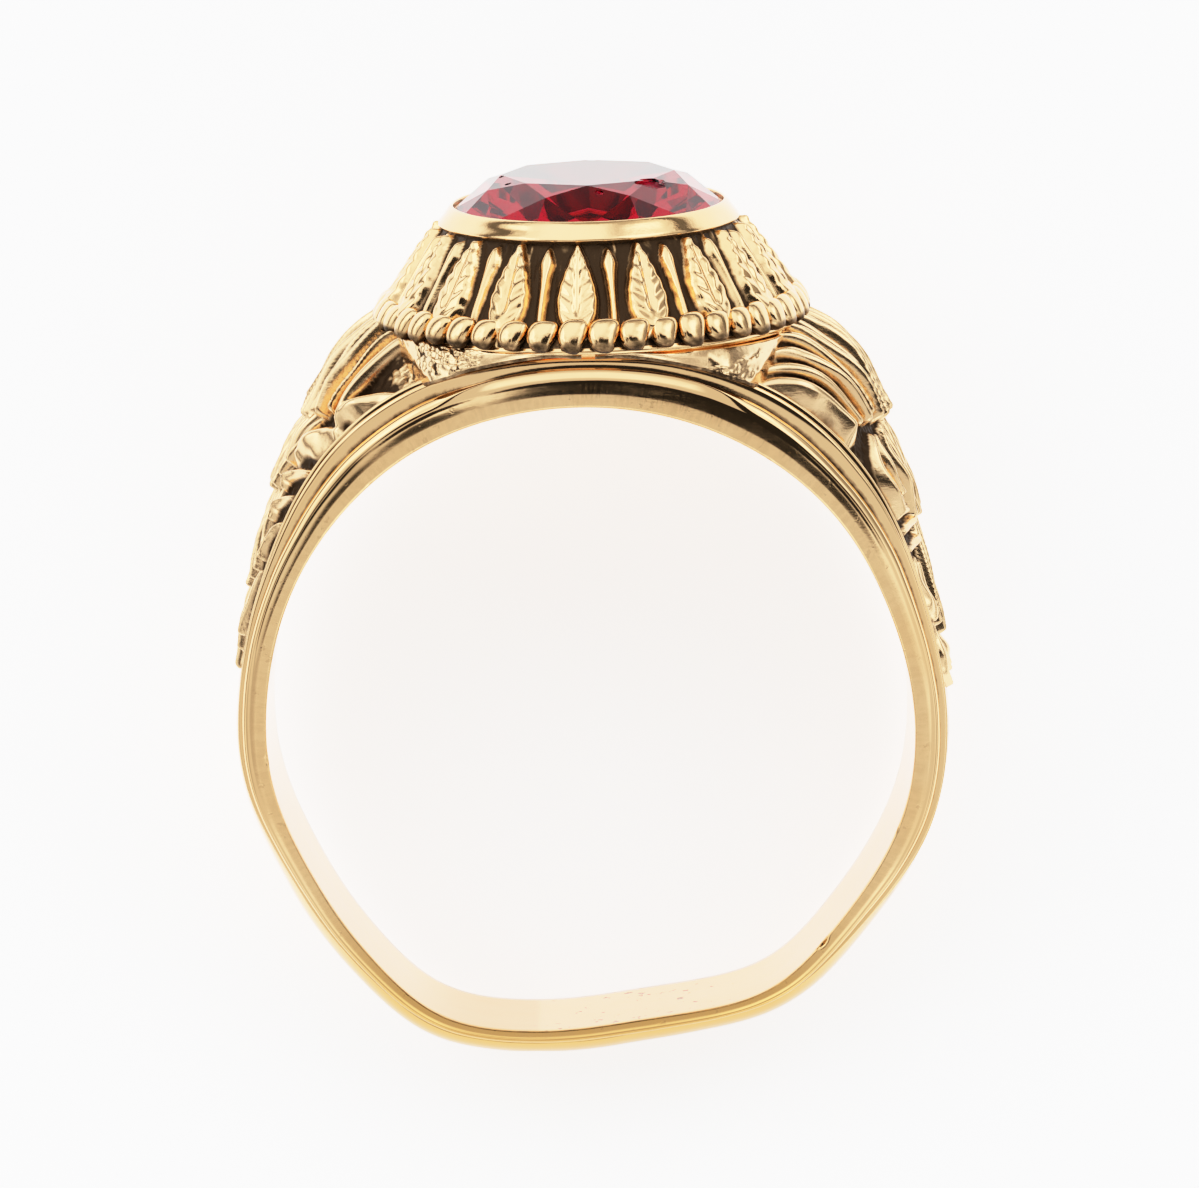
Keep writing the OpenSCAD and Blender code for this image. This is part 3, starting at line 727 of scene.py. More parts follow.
def shoulder(name, low, high, lobes, stipple, fade):
    """One carved shoulder: the domed ground between the rails, raised along its normals by the lobes.

    It is stippled between the stipple's four directions, and sinks into the hoop outside the fade's.
    """
    a = np.linspace(low, high, int((high - low) / SHOULDER_STEP))[:, None]
    s = np.linspace(-1, 1, SHOULDER_COLUMNS)[None, :]
    u = np.sin(s * np.pi / 2) * 1.02
    m, _, g = band(a)
    h, e, w = widths(a)
    up = m + (g - m) * dome(u) - 0.12
    base = polar(a, hole_radius(a) + up, u * w)
    n = normals(base)
    if (n * base).sum() < 0:
        n = -n
    across = np.cumsum(np.linalg.norm(np.diff(base, axis=1, prepend=base[:, :1]), axis=-1), axis=1)
    reach = across[:, -1:] / 2
    across = across - reach
    x = np.broadcast_to(np.radians(a) * CARVED_RADIUS, across.shape)
    share = np.abs(across) / reach
    height = 0.008 * soft_noise(across.shape, 5)
    grain = between(a, *stipple) * ramp(share, 0.3, 0.5) * ramp(soft_noise(across.shape, 12), -1.2, 0.2)
    height += grain * (0.12 * granules(x, across, 0.22, 0.125) + 0.04 * granules(x + 3, across, 0.13, 0.07))
    for row in lobes:
        for side in (-1, 1):
            path = []
            for d, q in ((row[0], row[1]), (row[2], row[3]), (row[4], row[5])):
                path.append((np.radians(d) * CARVED_RADIUS, side * q * np.interp(d, a[:, 0], reach[:, 0])))
            carve(height, x, across, path, *row[6:])
    height = (2 * height + blur(height, 1)) / 3 + 0.004 * soft_noise(height.shape, 3)
    height += 0.022 * soft_noise(height.shape, 1) * ramp(height, 0.12, 0.02)
    rim = ramp(share, 1.0, 0.95)
    ends = between(a, *fade)
    rise = height * rim * ends - 0.30 * (1 - rim) - 0.12 * (1 - ends)
    outer = base + n * rise[..., None]
    cavity = np.clip((blur(height, 7) - height) / 0.15, 0, 1)
    lows = 1 - ramp(height, 0.05, 0.28)
    wide = np.clip((blur(height, 18) - height - 0.04) / 0.24, 0, 1)
    crest = ramp(height - blur(height, 9), -0.03, 0.09)
    flank = 0.30 * (1 - crest) * ramp(share, 1.0, 0.86)
    hollow = np.maximum(0.56 * lows * (1 - 0.8 * grain), flank)
    hollow = hollow + (1.1 * cavity + 0.8 * wide) * (1 - 0.6 * grain)
    hollow = np.clip(hollow, 0, 1) * ramp(ends, 0.2, 0.9) * ramp(np.abs(a - 90), 87, 74)
    # painted shade: the low ground near the rails is darkened in the warm colour
    warm_and_shade = 0.15 * ramp(share, 0.6, 0.85) * lows
    y_in = (h - 0.6 * e) * np.array([-1.0, 1.0])
    inner = polar(a, hole_radius(a) + 0.35, y_in)
    return cap(name, outer, inner, SHOULDER, {"hollow": hollow, "satin": 0.35 + 0.4 * grain, "warm_and_shade": warm_and_shade})


def cap(name, outer, inner, material, marks):
    """A closed body under a grid: its sides run down to two lines inside the hoop, joined straight across."""
    rows, cols = outer.shape[:2]
    count = rows * cols
    index = np.arange(count).reshape(rows, cols)
    left = count + 2 * np.arange(rows)
    right = left + 1
    top = grid_faces(rows, cols, False, False)
    near = np.stack([index[1:, 0], index[:-1, 0], left[:-1], left[1:]], -1)
    far = np.stack([index[:-1, -1], index[1:, -1], right[1:], right[:-1]], -1)
    under = np.stack([left[1:], left[:-1], right[:-1], right[1:]], -1)
    loops = ([left[0], *index[0], right[0]], [right[-1], *index[-1][::-1], left[-1]])
    points = np.concatenate([outer.reshape(-1, 3), inner.reshape(-1, 3)])
    faces = np.concatenate([top, near, far, under])
    whole = {}
    for mark, value in marks.items():
        whole[mark] = np.concatenate([np.broadcast_to(value, (rows, cols)).ravel(), np.full(2 * rows, 0.5)])
    return make_piece(name, points, faces, material, whole, end_faces(top, loops))


def end_faces(quads, loops):
    """The loops that close a body's ends, each turned to run against the quads where it meets them."""
    ahead = np.concatenate([quads[:, [0, 1]], quads[:, [1, 2]], quads[:, [2, 3]], quads[:, [3, 0]]])
    return [loop[::-1] if (ahead == loop[1:3]).all(1).any() else loop for loop in loops]


# The webs: where they start across the finger, height and oval of the ledge they hang from, radius of the
# rails they reach.
WEB_START, LEDGE_LEVEL, LEDGE_ALONG, LEDGE_ACROSS, RAIL_RADIUS = 0.2, 11.90, 7.42, 6.6, 11.72


def web(name, side, near, high, stippled):
    """A web carrying the head's ledge onto the shoulder, on one side of the ring and one edge of the hoop.

    At each place across the finger its section runs from under the ledge forwards and down to a soft lip
    above the rails, then back under itself. It widens from the middle of the ring; its outer end slants and
    falls back behind the roots of the lobes. A right web is stippled in a slanting band near its end, a left
    one on its outer half.
    """
    rows, front = 140, np.linspace(0, 1, 30)
    down = np.concatenate([[0], front, np.ones(6)])[None, :]
    tuck_y = np.concatenate([[-0.5], 0 * front, [0.02, 0.01, -0.06, -0.30, -0.80, -1.60]])
    tuck_z = np.concatenate([[0.05], 0 * front, [-0.03, -0.07, -0.10, -0.12, -0.14, -0.20]])
    share = np.linspace(0, 1, rows)[:, None]
    x = WEB_START + (high - WEB_START) * share * (1.09 - 0.18 * down)
    opened = ramp(x, WEB_START, WEB_START + 1.3)
    closed = ramp(share, 0.86, 1.0)
    ledge_y = LEDGE_ALONG * np.sqrt(1 - np.clip(x / LEDGE_ACROSS, 0, 0.98) ** 2) - 0.04
    rail_z = np.sqrt(RAIL_RADIUS**2 - x**2) + 0.16 + 0.07 * ramp(x, 4.0, 1.0)
    lip_z = 11.88 - opened * (11.88 - rail_z)
    lip_y = np.minimum(ledge_y + 0.70 * (LEDGE_LEVEL - lip_z), 6.22 - 0.4 * ramp(x, 4.4, high))
    lip_y = np.maximum(lip_y, ledge_y + 0.02)
    bulge = 0.06 * opened * np.sin(np.pi * down)
    y = ledge_y + (lip_y - ledge_y) * down + bulge + tuck_y
    z = LEDGE_LEVEL + (lip_z - LEDGE_LEVEL) * down + bulge + tuck_z
    slanted = ramp(np.abs(share - 0.97 + 0.22 * down), 0.17, 0.07)
    patch = slanted if side > 0 else ramp(down, 0.98, 0.85) * ramp(share, 0.45, 0.65)
    patch = stippled * patch * ramp(soft_noise(y.shape, 3), -1.6, 0.1)
    grains = granules(x, 0.55 * down + 0 * x, 0.17, 0.10)
    bumps = patch * (0.09 * grains + 0.03 * soft_noise(y.shape, 1))
    y = y + 0.8 * bumps + 0.005 * soft_noise(y.shape, 4) - 1.25 * closed
    z = z + 0.5 * bumps - 0.10 * closed
    grid = np.stack([side * x, -near * y, z], -1)
    faces = grid_faces(*y.shape, False, True)
    loop = np.arange(y.shape[1])
    fans = end_faces(faces, (loop, loop[::-1] + (rows - 1) * y.shape[1]))
    gaps = patch * ramp(grains, 0.55, 0.0)
    hollow = np.clip(0.85 * gaps + 0.7 * ramp(down, 0.96, 1.0) + 0.35 * ramp(share, 0.93, 1.0), 0, 1)
    marks = {"hollow": hollow, "satin": np.full(y.shape, 0.3)}
    return make_piece(name, grid.reshape(-1, 3), faces, SHOULDER, marks, fans)


# The head


def oval(across, along, z, t):
    """Points of an oval at a height."""
    return stacked(across * np.cos(t), along * np.sin(t), z)


def evenly(i, count, across, along):
    """Angle of evenly spaced places round an oval."""
    t = 2 * np.pi * i / count
    return t - (along - across) / (along + across) / 2 * np.sin(2 * t)


# Outside of the head from inside the hoop up to the collar, then down into the stone's seat:
# height, half width, half length, grid levels to the next row. The skirt runs up from row 11, counted from
# 0; below the few levels of the brim under it the metal is a little dull.
HEAD = np.array([
    [8.60, 5.60, 4.40, 3], [10.40, 5.80, 4.70, 3], [11.10, 5.95, 4.80, 3], [11.54, 6.05, 5.00, 3],
    [11.66, 6.12, 5.60, 3], [11.71, 6.20, 6.30, 3], [11.76, 6.28, 6.85, 2], [11.81, 6.36, 7.18, 2],
    [11.88, 6.42, 7.36, 2], [11.95, 6.45, 7.44, 2], [12.02, 6.46, 7.46, 3],
    [12.12, 6.40, 7.39, 66], [15.04, 4.42, 5.36, 3], [15.08, 4.30, 5.24, 3], [14.95, 4.10, 5.05, 4],
    [13.90, 2.65, 3.25, 6], [12.50, 0.55, 0.65, 1], [12.28, 0.20, 0.24, 0],
])
SKIRT_ROW, BRIM_LEVELS, HEAD_STEPS = 11, 5, 864

# Half width of a skirt leaf: share of the way up the skirt, half width in millimetres.
LEAF = np.array([
    [0.08, 0.30], [0.16, 0.46], [0.26, 0.58], [0.38, 0.63], [0.50, 0.60], [0.62, 0.50], [0.74, 0.37],
    [0.86, 0.22], [0.94, 0.10], [0.98, 0.02],
])
# Half width of a dart between two leaves, in the same columns.
DART = np.array([
    [0.12, 0.08], [0.28, 0.13], [0.52, 0.15], [0.70, 0.20], [0.80, 0.24], [0.89, 0.13], [0.95, 0.03],
])

# Height of the skirt along its slope, its half width and half length at mid-height, the angle at which its
# face looks up, and the distance between the veins of a leaf.
SKIRT_SLOPE, SKIRT_MIDDLE, SKIRT_LEAN, VEIN_PITCH = 3.7, (5.4, 6.3), 36, 0.60


def skirt_relief(t, share, across, along):
    """Height of the skirt's ornament: upright leaves with a grooved middle and slanting veins, slim darts
    between them, and a ground of fine upright lines."""
    up = share * SKIRT_SLOPE
    lines = blur(chance.standard_normal((t.shape[0], 1)), 1, (True, False)) * 0.075
    grain = 0.008 * soft_noise(np.broadcast_shapes(t.shape, share.shape), 2, (True, False))
    height = lines * (0.6 + 0.4 * np.sin(up * 2.3 + t * 9)) + grain
    speed = np.hypot(across * np.sin(t), along * np.cos(t))
    for i in range(LEAF_COUNT):
        for kind, offset in ((LEAF, LEAF_PHASE), (DART, LEAF_PHASE + 0.5)):
            middle = evenly(i + offset, LEAF_COUNT, *SKIRT_MIDDLE)
            d = ((t - middle + np.pi) % (2 * np.pi) - np.pi) * speed
            foot, tip = kind[0, 0], kind[-1, 0]
            wide = eased(np.clip(share, foot, tip), kind, 1)
            wide = np.where((share < foot) | (share > tip), 0.0, np.maximum(wide, 0.004))
            off = np.abs(d) / np.maximum(wide, 0.01)
            wall = np.clip((wide - np.abs(d)) / 0.10, 0, 1)
            if kind is LEAF:
                crown = 0.34 + 0.07 * np.clip(1 - off**2, 0, 1)
                groove = 0.15 * bell(d, 0.075) * between(share, 0.22, 0.32, 0.82, 0.93)
                waves = np.sin((up - np.abs(d)) * 2 * np.pi / VEIN_PITCH)
                veins = 0.08 * ramp(waves, 0.25, 1.0) * ramp(off, 0.12, 0.3)
                raised = np.sqrt(wall) * (crown - groove - veins)
            else:
                raised = 0.30 * np.sqrt(wall) * (0.75 + 0.25 * np.clip(1 - off, 0, 1))
            height = np.where(wall > 0, np.maximum(height, raised), height)
    return height


def head():
    """The head: an oval stack from inside the hoop to the stone's seat, its skirt raised by the ornament."""
    t = np.linspace(0, 2 * np.pi, HEAD_STEPS, endpoint=False)[:, None]
    levels = []
    for row, following in zip(HEAD[:-1], HEAD[1:]):
        for k in range(int(row[3])):
            levels.append(row[:3] + (following[:3] - row[:3]) * k / row[3])
    levels = np.array(levels + [HEAD[-1, :3]])
    start, count = int(HEAD[:SKIRT_ROW, 3].sum()), int(HEAD[SKIRT_ROW, 3])
    z, across, along = (levels[:, k][None, :] for k in range(3))
    grid = oval(across, along, z, t)
    share = np.linspace(0, 1, count)[None, :]
    part = slice(start, start + count)
    height = skirt_relief(t, share, across[:, part], along[:, part])
    height = blur(height, 1, (True, False))
    edge = between(share, 0.0, 0.03, 0.97, 1.0)
    lean = np.radians(SKIRT_LEAN)
    out = stacked(along[:, part] * np.cos(t), across[:, part] * np.sin(t), 0)
    out = out / np.linalg.norm(out, axis=-1, keepdims=True) * np.cos(lean) + [0, 0, np.sin(lean)]
    grid[:, part] += out * (height * edge)[..., None]
    hollow = np.zeros(grid.shape[:2])
    lows = 1 - ramp(height, 0.06, 0.26)
    cavity = np.clip((blur(height, 4, (True, False)) - height) / 0.12, 0, 1)
    streak = ramp(height, 0.02, 0.06) * lows
    hollow[:, part] = np.clip(0.85 * lows - 0.55 * streak + 0.6 * cavity, 0, 1)
    hollow[:, :start - BRIM_LEVELS] = 0.1
    faces = grid_faces(len(t), len(levels), True, False)
    bottom = np.arange(len(t)) * len(levels)
    top = bottom + len(levels) - 1
    points = on_head(grid.reshape(-1, 3))
    arch = hole_radius(np.degrees(np.arctan2(points[:, 2], points[:, 0]))) + 0.4
    points[:, 2] = np.maximum(points[:, 2], np.sqrt(np.maximum(arch**2 - points[:, 0] ** 2, 0)))
    return make_piece("head_with_leaf_skirt", points, faces, ANTIQUE, {"hollow": hollow}, [bottom[::-1], top])


def ball_angles(rings, around):
    """Angles of a ball's points: down from the upper pole, ring by ring, and round each ring."""
    return np.linspace(0, np.pi, rings + 2)[1:-1][:, None], np.linspace(0, 2 * np.pi, around + 1)[None, :-1]


def with_poles(rings, half):
    """The points of a ball's rings with its two poles before and after them."""
    return np.concatenate([[[0, 0, half]], rings.reshape(-1, 3), [[0, 0, -half]]])


def ball_faces(rings, around):
    """Faces of such a ball: four-sided ones between its rings, and three-sided ones to its poles."""
    j, last = np.arange(around), 1 + (rings - 1) * around
    upper = np.stack([0 * j, 1 + j, 1 + (j + 1) % around], -1)
    lower = np.stack([0 * j + last + around, last + (j + 1) % around, last + j], -1)
    return grid_faces(rings, around, False, True) + 1, np.concatenate([upper, lower])


# Lean of the beads in degrees, how far they are sunk into the border, half their size outwards, along the
# border and upwards, and their rings of points.
BEAD_LEAN, BEAD_SUNK, BEAD_HALF, BEAD_RINGS, BEAD_AROUND = 27, 0.09, (0.30, 0.435, 0.50), 17, 28


def bead_border():
    """The border: petal-shaped beads round the oval; each is a stretched ball, fuller above than below."""
    p, q = ball_angles(BEAD_RINGS, BEAD_AROUND)
    full = np.sin(p) ** 0.62 * (1 + 0.20 * np.cos(p))
    across = np.sign(np.sin(q)) * np.abs(np.sin(q)) ** 0.9
    thick = np.sign(np.cos(q)) * np.abs(np.cos(q)) ** 0.75 * (1 - 0.25 * np.cos(p))
    skew = 0.10 * (1 - np.cos(p)) * np.sin(p)
    out, side, up = BEAD_HALF
    ball = with_poles(stacked(out * full * thick, side * full * across - skew, up * np.cos(p)), up)
    body, poles = ball_faces(BEAD_RINGS, BEAD_AROUND)
    places, marks, faces, fans = [], [], [], []
    sizes = 1 + 0.07 * chance.standard_normal((BEAD_COUNT, 3)).clip(-1, 1)
    for i in range(BEAD_COUNT):
        t = evenly(i, BEAD_COUNT, BORDER_ACROSS, BORDER_ALONG)
        turn = np.degrees(np.arctan2(BORDER_ACROSS * np.sin(t), BORDER_ALONG * np.cos(t)))
        turned = rotation("Z", turn) @ rotation("Y", -BEAD_LEAN)
        seat = [(BORDER_ACROSS - BEAD_SUNK) * np.cos(t), (BORDER_ALONG - BEAD_SUNK) * np.sin(t), BORDER_LEVEL]
        places.append(ball * sizes[i] @ turned.T + seat)
        # painted shade and patina: each bead is darkened on its lower part as painted shade, and at its back
        # where patina sits against the border
        low = ramp(-ball[:, 2], 0.12, 0.42)
        marks.append(np.clip(0.75 * low + 4.0 * np.clip(0.07 - ball[:, 0], 0, 1), 0, 1))
        faces.append(body + i * len(ball))
        fans += (poles + i * len(ball)).tolist()
    points, hollow = on_head(np.concatenate(places)), np.concatenate(marks)
    return make_piece("bead_border", points, np.concatenate(faces), ANTIQUE, {"hollow": hollow}, fans)


# Section of the collar: height above its foot, inset from its outside.
COLLAR = np.array([
    [-0.30, 0.20], [-0.05, 0.10], [0.00, 0.00], [0.03, -0.025], [0.07, -0.015], [0.13, 0.03],
    [0.20, 0.085], [0.27, 0.14], [0.34, 0.20], [0.41, 0.26], [0.47, 0.32], [0.52, 0.38],
    [0.55, 0.43], [0.555, 0.46], [0.50, 0.48], [0.40, 0.47], [0.10, 0.47], [-0.30, 0.50],
])
COLLAR_STEPS = 720


def collar():
    """The collar: its section carried round the stone, worn into soft flats with one small crease."""
    t = np.linspace(0, 2 * np.pi, COLLAR_STEPS, endpoint=False)[:, None]
    height, inset = COLLAR.T[:, None, :]
    flats = 0.012 * np.cos(9 * t + 0.6) + 0.012 * np.cos(5 * t + 2.1)
    flats = flats + 0.006 * soft_noise((COLLAR_STEPS, 1), 9, (True, False))
    outer = ramp(inset, 0.46, 0.1)
    inset = inset - (flats - 0.03) * outer
    crease = 0.03 * bell(np.degrees(t) - 236, 14) * bell(height - 0.30, 0.10)
    grid = oval(COLLAR_ACROSS - inset - crease, COLLAR_ALONG - inset - crease, COLLAR_FOOT + height, t)
    hollow = 0.9 * ramp(height, 0.03, -0.03) + 0 * t
    faces = grid_faces(*grid.shape[:2], True, True)
    return make_piece("collar", on_head(grid.reshape(-1, 3)), faces, BRIGHT, {"hollow": hollow})


# The stone


def cut(stone, a, b, c):
    """Grinds one flat facet through three points and closes the cut, keeping the side of the middle."""
    a, b, c = (Vector(p) for p in (a, b, c))
    normal = (b - a).cross(c - a).normalized()
    if normal.dot(a - Vector((0, 0, -0.3))) < 0:
        normal = -normal
    made = bmesh.ops.bisect_plane(
        stone, geom=stone.verts[:] + stone.edges[:] + stone.faces[:], dist=1e-7, plane_co=a, plane_no=normal,
        clear_outer=True,
    )
    edges = [e for e in made["geom_cut"] if isinstance(e, bmesh.types.BMEdge) and e.is_boundary]
    if edges:
        bmesh.ops.contextual_create(stone, geom=edges)


def weld(stone, reach):
    """Merges corners that lie within a reach of each other and drops the faces this flattens."""
    bmesh.ops.remove_doubles(stone, verts=stone.verts[:], dist=reach)
    bmesh.ops.dissolve_degenerate(stone, edges=stone.edges[:], dist=reach)


def place(share, degrees, height, beside=0.0):
    """A point of a round stone of unit radius, or one that lies beside it along the girdle's tangent."""
    t = np.radians(degrees)
    return (share * np.cos(t) - beside * np.sin(t), share * np.sin(t) + beside * np.cos(t), height)


# Chips of the worn stone: place, and radius across, along and up, in millimetres.
CHIPS = np.array([
    [1.95, -2.36, 16.42, 0.55, 0.42, 0.17],
    [1.60, -2.62, 16.46, 0.28, 0.20, 0.12],
    [2.32, -2.12, 16.45, 0.22, 0.24, 0.11],
    [0.36, -3.60, 16.33, 0.13, 0.11, 0.10],
    [-2.42, -1.62, 16.44, 0.10, 0.12, 0.09],
    [-2.62, -0.30, 16.47, 0.08, 0.14, 0.07],
    [0.10, 3.22, 16.46, 0.20, 0.16, 0.09],
])
LUMP_RINGS, LUMP_AROUND = 12, 22


def chip(stone):
    """Takes the chips out of the stone: each is a rough lump, a ball whose radius follows its own random
    field, cut away exactly; the lumps are removed and their surface stays marked as hollow."""
    p, q = ball_angles(LUMP_RINGS, LUMP_AROUND)
    ball = stacked(np.sin(p) * np.cos(q), np.sin(p) * np.sin(q), np.cos(p))
    body, poles = ball_faces(LUMP_RINGS, LUMP_AROUND)
    way = -1 if inside_out(with_poles(ball, 1), body) else 1
    faces = [f[::way] for f in body.tolist() + poles.tolist()]
    for row in CHIPS:
        rough = 1 + 0.16 * soft_noise((LUMP_RINGS, LUMP_AROUND), 1, (False, True))[..., None]
        points = to_row(on_head(with_poles(ball * rough, 1) * row[3:] + row[:3]))
        mesh = bpy.data.meshes.new("chip_lump")
        mesh.from_pydata(points.tolist(), [], faces)
        mark = mesh.attributes.new("hollow", "FLOAT", "POINT")
        mark.data.foreach_set("value", np.ones(len(points), dtype=np.float32))
        mesh.materials.append(RED)
        cutter = put("chip_lump", mesh)
        bite = stone.modifiers.new("chip", "BOOLEAN")
        bite.operation, bite.object, bite.solver = "DIFFERENCE", cutter, "EXACT"
        ready = stone.evaluated_get(bpy.context.evaluated_depsgraph_get())
        whole = bpy.data.meshes.new_from_object(ready)
        stone.modifiers.remove(bite)
        stone.data = whole
        bpy.data.objects.remove(cutter)
        bpy.data.meshes.remove(mesh)
    chipped = bmesh.new()
    chipped.from_mesh(stone.data)
    weld(chipped, 2e-7)
    chipped.to_mesh(stone.data)
    chipped.free()


# Half the angle of a main facet, how far out the stars reach, and how far in the lower short facets do.
HALF_STEP, STAR_REACH, VALLEY_REACH = 22.5, 0.80, 0.30


def gem():
    """The stone: an upright oval blank, ground to a table, 8 stars, 8 kites and 16 upper facets,
    then 8 long and 16 short facets below the girdle."""
    stone = bmesh.new()
    bmesh.ops.create_cone(stone, cap_ends=True, segments=96, radius1=1, radius2=1, depth=5)
    top, low, belt = 1.0, -PAVILION_DROP / CROWN_RISE, -GIRDLE_THICK / CROWN_RISE
    mid_up = (1 - STAR_REACH * np.cos(np.radians(HALF_STEP))) / (1 - TABLE_SHARE)
    valley_down = belt + (low - belt) * (1 - VALLEY_REACH * np.cos(np.radians(HALF_STEP)))
    cut(stone, place(0, 0, top), place(1, 0, top), place(1, 90, top))
    for i in range(8):
        d, e = 2 * i * HALF_STEP, (2 * i + 1) * HALF_STEP
        cut(stone, place(TABLE_SHARE, d, top), place(1, d, 0), place(1, d, 0, 1))
        cut(stone, place(TABLE_SHARE, d, top), place(TABLE_SHARE, d + 45, top), place(STAR_REACH, e, mid_up))
        for f in (d - HALF_STEP, e):
            cut(stone, place(STAR_REACH, f, mid_up), place(1, d, 0), place(1, f, 0))
        cut(stone, place(0, 0, low), place(1, e, belt), place(1, e, belt, 1))
    for i in range(16):
        d, e = i * HALF_STEP, (i + 1) * HALF_STEP
        cut(stone, place(VALLEY_REACH, e if i % 2 else d, valley_down), place(1, d, belt), place(1, e, belt))
    mesh = bpy.data.meshes.new("oval_stone")
    weld(stone, 1e-4)
    stone.normal_update()
    stone.to_mesh(mesh)
    stone.free()
    points = np.zeros(len(mesh.vertices) * 3)
    mesh.vertices.foreach_get("co", points)
    points = points.reshape(-1, 3) * [STONE_ACROSS, STONE_ALONG, CROWN_RISE]
    points = points + [0, 0, GIRDLE_LEVEL + GIRDLE_THICK]
    mesh.vertices.foreach_set("co", to_row(on_head(points)).ravel())
    mesh.attributes.new("hollow", "FLOAT", "POINT")
    mesh.materials.append(RED)
    piece = put("oval_stone", mesh)
    chip(piece)
    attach(piece, "root")
    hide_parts("stone")


gold_pieces = [
    hoop(),
    shoulder("right_shoulder", 0, 80, RIGHT_LOBES, (58, 63, 70, 76), (0.5, 3, 78.5, 80)),
    shoulder("left_shoulder", 99, 178, LEFT_LOBES, (96, 103, 117, 122), (99, 100.5, 173, 177)),
    head(),
    bead_border(),
    collar(),
    web("right_web", 1, 1, 6.05, 0.8),
    web("right_web_behind", 1, -1, 6.05, 0.8),
    web("left_web", -1, 1, 5.9, 1.0),
    web("left_web_behind", -1, -1, 5.9, 1.0),
]
for piece in gold_pieces:
    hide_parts("ring_body")
gem()


# Camera, floor and light

# The camera's place in the ring's own millimetres, its angle down the finger, and its lens.
CAMERA_AT, CAMERA_DOWN, CAMERA_LENS = np.array([0.335, -255.53, 47.54]), 9.8, 252.2

# Half the floor's side, its colour near the ring and its painted dim colour far off, the distances between
# which it changes, its painted glow near the ring and how much of it goes, and the glow's colour.
FLOOR_HALF, FLOOR_NEAR, FLOOR_FAR_PAINTED_DIM = 3, (0.93, 0.93, 0.94, 1), (0.10, 0.10, 0.10, 1)
FLOOR_CHANGE, FLOOR_PAINTED_GLOW, PAINTED_GLOW_TONE = (0.035, 0.09), (0.80, 0.79), (0.955, 0.98, 1.0, 1)


def camera():
    """The photograph's camera: its place and aim in the ring's own frame, carried into the row's."""
    t = np.radians(CAMERA_DOWN)
    right, up, back = np.array([[1, 0, 0], [0, np.sin(t), np.cos(t)], [0, -np.cos(t), np.sin(t)]]) @ LAID.T
    data = bpy.data.cameras.new("camera")
    data.lens, data.sensor_width, data.clip_start, data.clip_end = CAMERA_LENS, 36.0, 0.01, 20
    view = put("camera", data)
    turn = Matrix(np.array([right, up, back]).T.tolist()).to_4x4()
    view.matrix_world = Matrix.Translation(Vector(to_row(CAMERA_AT).tolist())) @ turn
    bpy.context.scene.camera = view


def floor():
    """A plain pale table under the ring, with painted light: it glows a little near the ring though it is no
    lamp, and is painted dim further off.
    """
    mesh = bpy.data.meshes.new("floor")
    corners = [(x * FLOOR_HALF, y * FLOOR_HALF, 0) for x, y in ((-1, -1), (1, -1), (1, 1), (-1, 1))]
    mesh.from_pydata(corners, [], [(0, 1, 2, 3)])
    material, g, shader, place = new_finish("pale floor with painted glow")
    length = g.node("ShaderNodeVectorMath", operation="LENGTH")
    g.join(place, length.inputs[0])
    far = g.ramped(length.outputs["Value"], *FLOOR_CHANGE)
    # painted light: the floor glows near the ring and its colour darkens far off, as a pool of light would
    # fall off
    g.fill(shader, {
        "Base Color": g.mix(far, FLOOR_NEAR, FLOOR_FAR_PAINTED_DIM), "Roughness": 0.9, "Specular IOR Level": 0.1,
        "Emission Color": PAINTED_GLOW_TONE, "Emission Strength": g.less(FLOOR_PAINTED_GLOW[0], g.times(far, FLOOR_PAINTED_GLOW[1])),
    })
    mesh.materials.append(material)
    put("floor", mesh)


# Film response: light in the scene, brightness shown; bright gold goes pale as it does in the photograph.
FILM_WHITE = 3.2
FILM = (
    (0.20, 0.20), (0.42, 0.42), (0.66, 0.62), (0.90, 0.765), (1.20, 0.870), (1.60, 0.945), (1.95, 0.980),
    (2.50, 0.995),
)

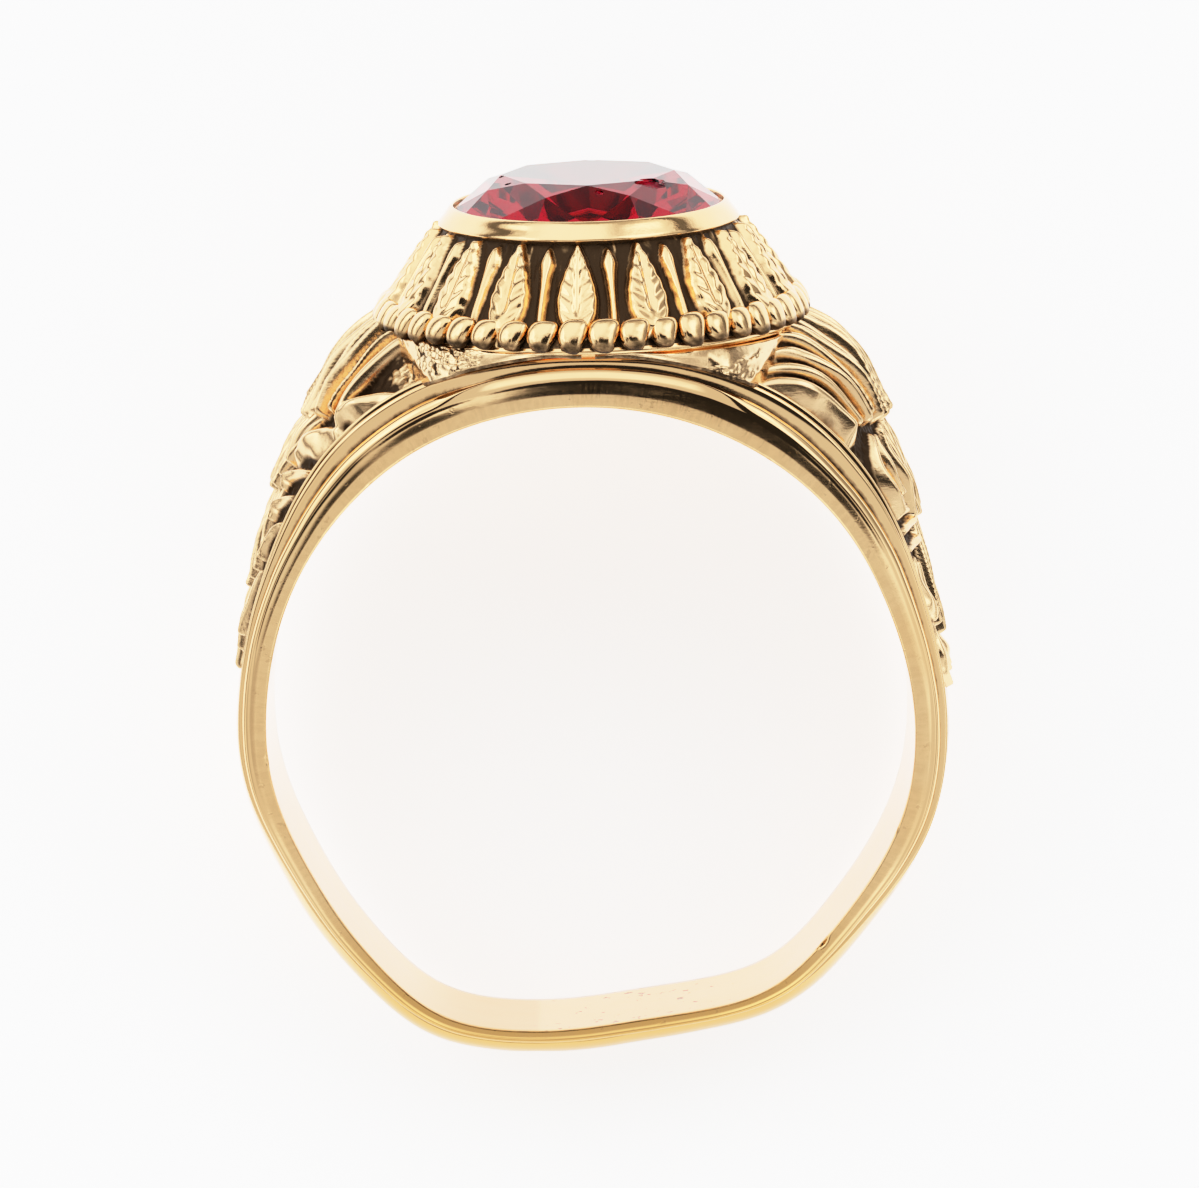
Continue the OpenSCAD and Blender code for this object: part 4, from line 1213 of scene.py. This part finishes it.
# Parts of the room: direction in the ring's own frame, angles at which the part is full and at which it is
# gone, light. Soft folds lie over the panels; the patches and the dark strips come in front of them.
ROOM_LIGHT = 1.15
PANELS = ((0.75, -0.40, 0.53, 16, 36, 2.0), (-0.75, -0.40, 0.53, 16, 36, 2.1), (0, -0.45, -0.9, 24, 42, 2.0))
PATCHES = (
    (-0.20, -0.40, 0.88, 16, 34, 1.75), (0.97, -0.05, 0.25, 12, 32, 0.4), (0.62, 0.48, 0.62, 10, 26, 1.9),
    (0, 0.20, 0.98, 8, 20, 0.45), (0.61, 0.76, 0.21, 6, 18, 0.55), (0, -0.94, -0.34, 22, 36, 0.88),
)
STRIPS = (
    (0.40, -0.90, 0.16, 16, 19, 0.02), (0.60, -0.79, -0.05, 9, 12, 0.02), (0.04, -0.96, 0.27, 15, 18, 0.02),
    (-0.45, -0.88, 0.17, 8, 11, 0.02), (-0.60, -0.79, -0.12, 6, 10, 0.02), (-0.60, -0.77, -0.30, 4, 8, 0.02),
)


def studio():
    """A pale studio: an even room with soft folds, brighter panels, and dark strips that the gold mirrors."""
    world = bpy.data.worlds.new("studio")
    bpy.context.scene.world = world
    world.use_nodes = True
    g = Graph(world.node_tree)
    ray = g.node("ShaderNodeTexCoord").outputs["Generated"]

    def lit(level, parts):
        """Brings the level to each part's light near its direction, falling off softly to the wider angle."""
        for *direction, inner, outer, light in parts:
            unit = np.array(direction) / np.linalg.norm(direction)
            n = g.node("ShaderNodeVectorMath", operation="DOT_PRODUCT")
            g.join(ray, n.inputs[0])
            n.inputs[1].default_value = (LAID @ unit).tolist()
            share = g.ramped(n.outputs["Value"], np.cos(np.radians(outer)), np.cos(np.radians(inner)))
            level = g.plus(level, g.times(share, g.less(light, level)))
        return level

    folds = g.ramped(g.noise(ray, 2.4, 2.0), 0.36, 0.62, 0.55, 1.25)
    level = lit(g.times(lit(ROOM_LIGHT, PANELS), folds), PATCHES + STRIPS)
    background = world.node_tree.nodes["Background"]
    background.inputs["Color"].default_value = (1.0, 0.995, 0.985, 1)
    g.join(level, background.inputs["Strength"])
    film = bpy.context.scene.view_settings
    film.view_transform = "Standard"
    film.use_curve_mapping = True
    film.curve_mapping.white_level = (FILM_WHITE,) * 3
    curve = film.curve_mapping.curves[3]
    curve.points[0].location, curve.points[1].location = (0, 0), (1, 1)
    for light, shown in FILM:
        curve.points.new(light / FILM_WHITE, shown)
    film.curve_mapping.update()


camera()
floor()
studio()
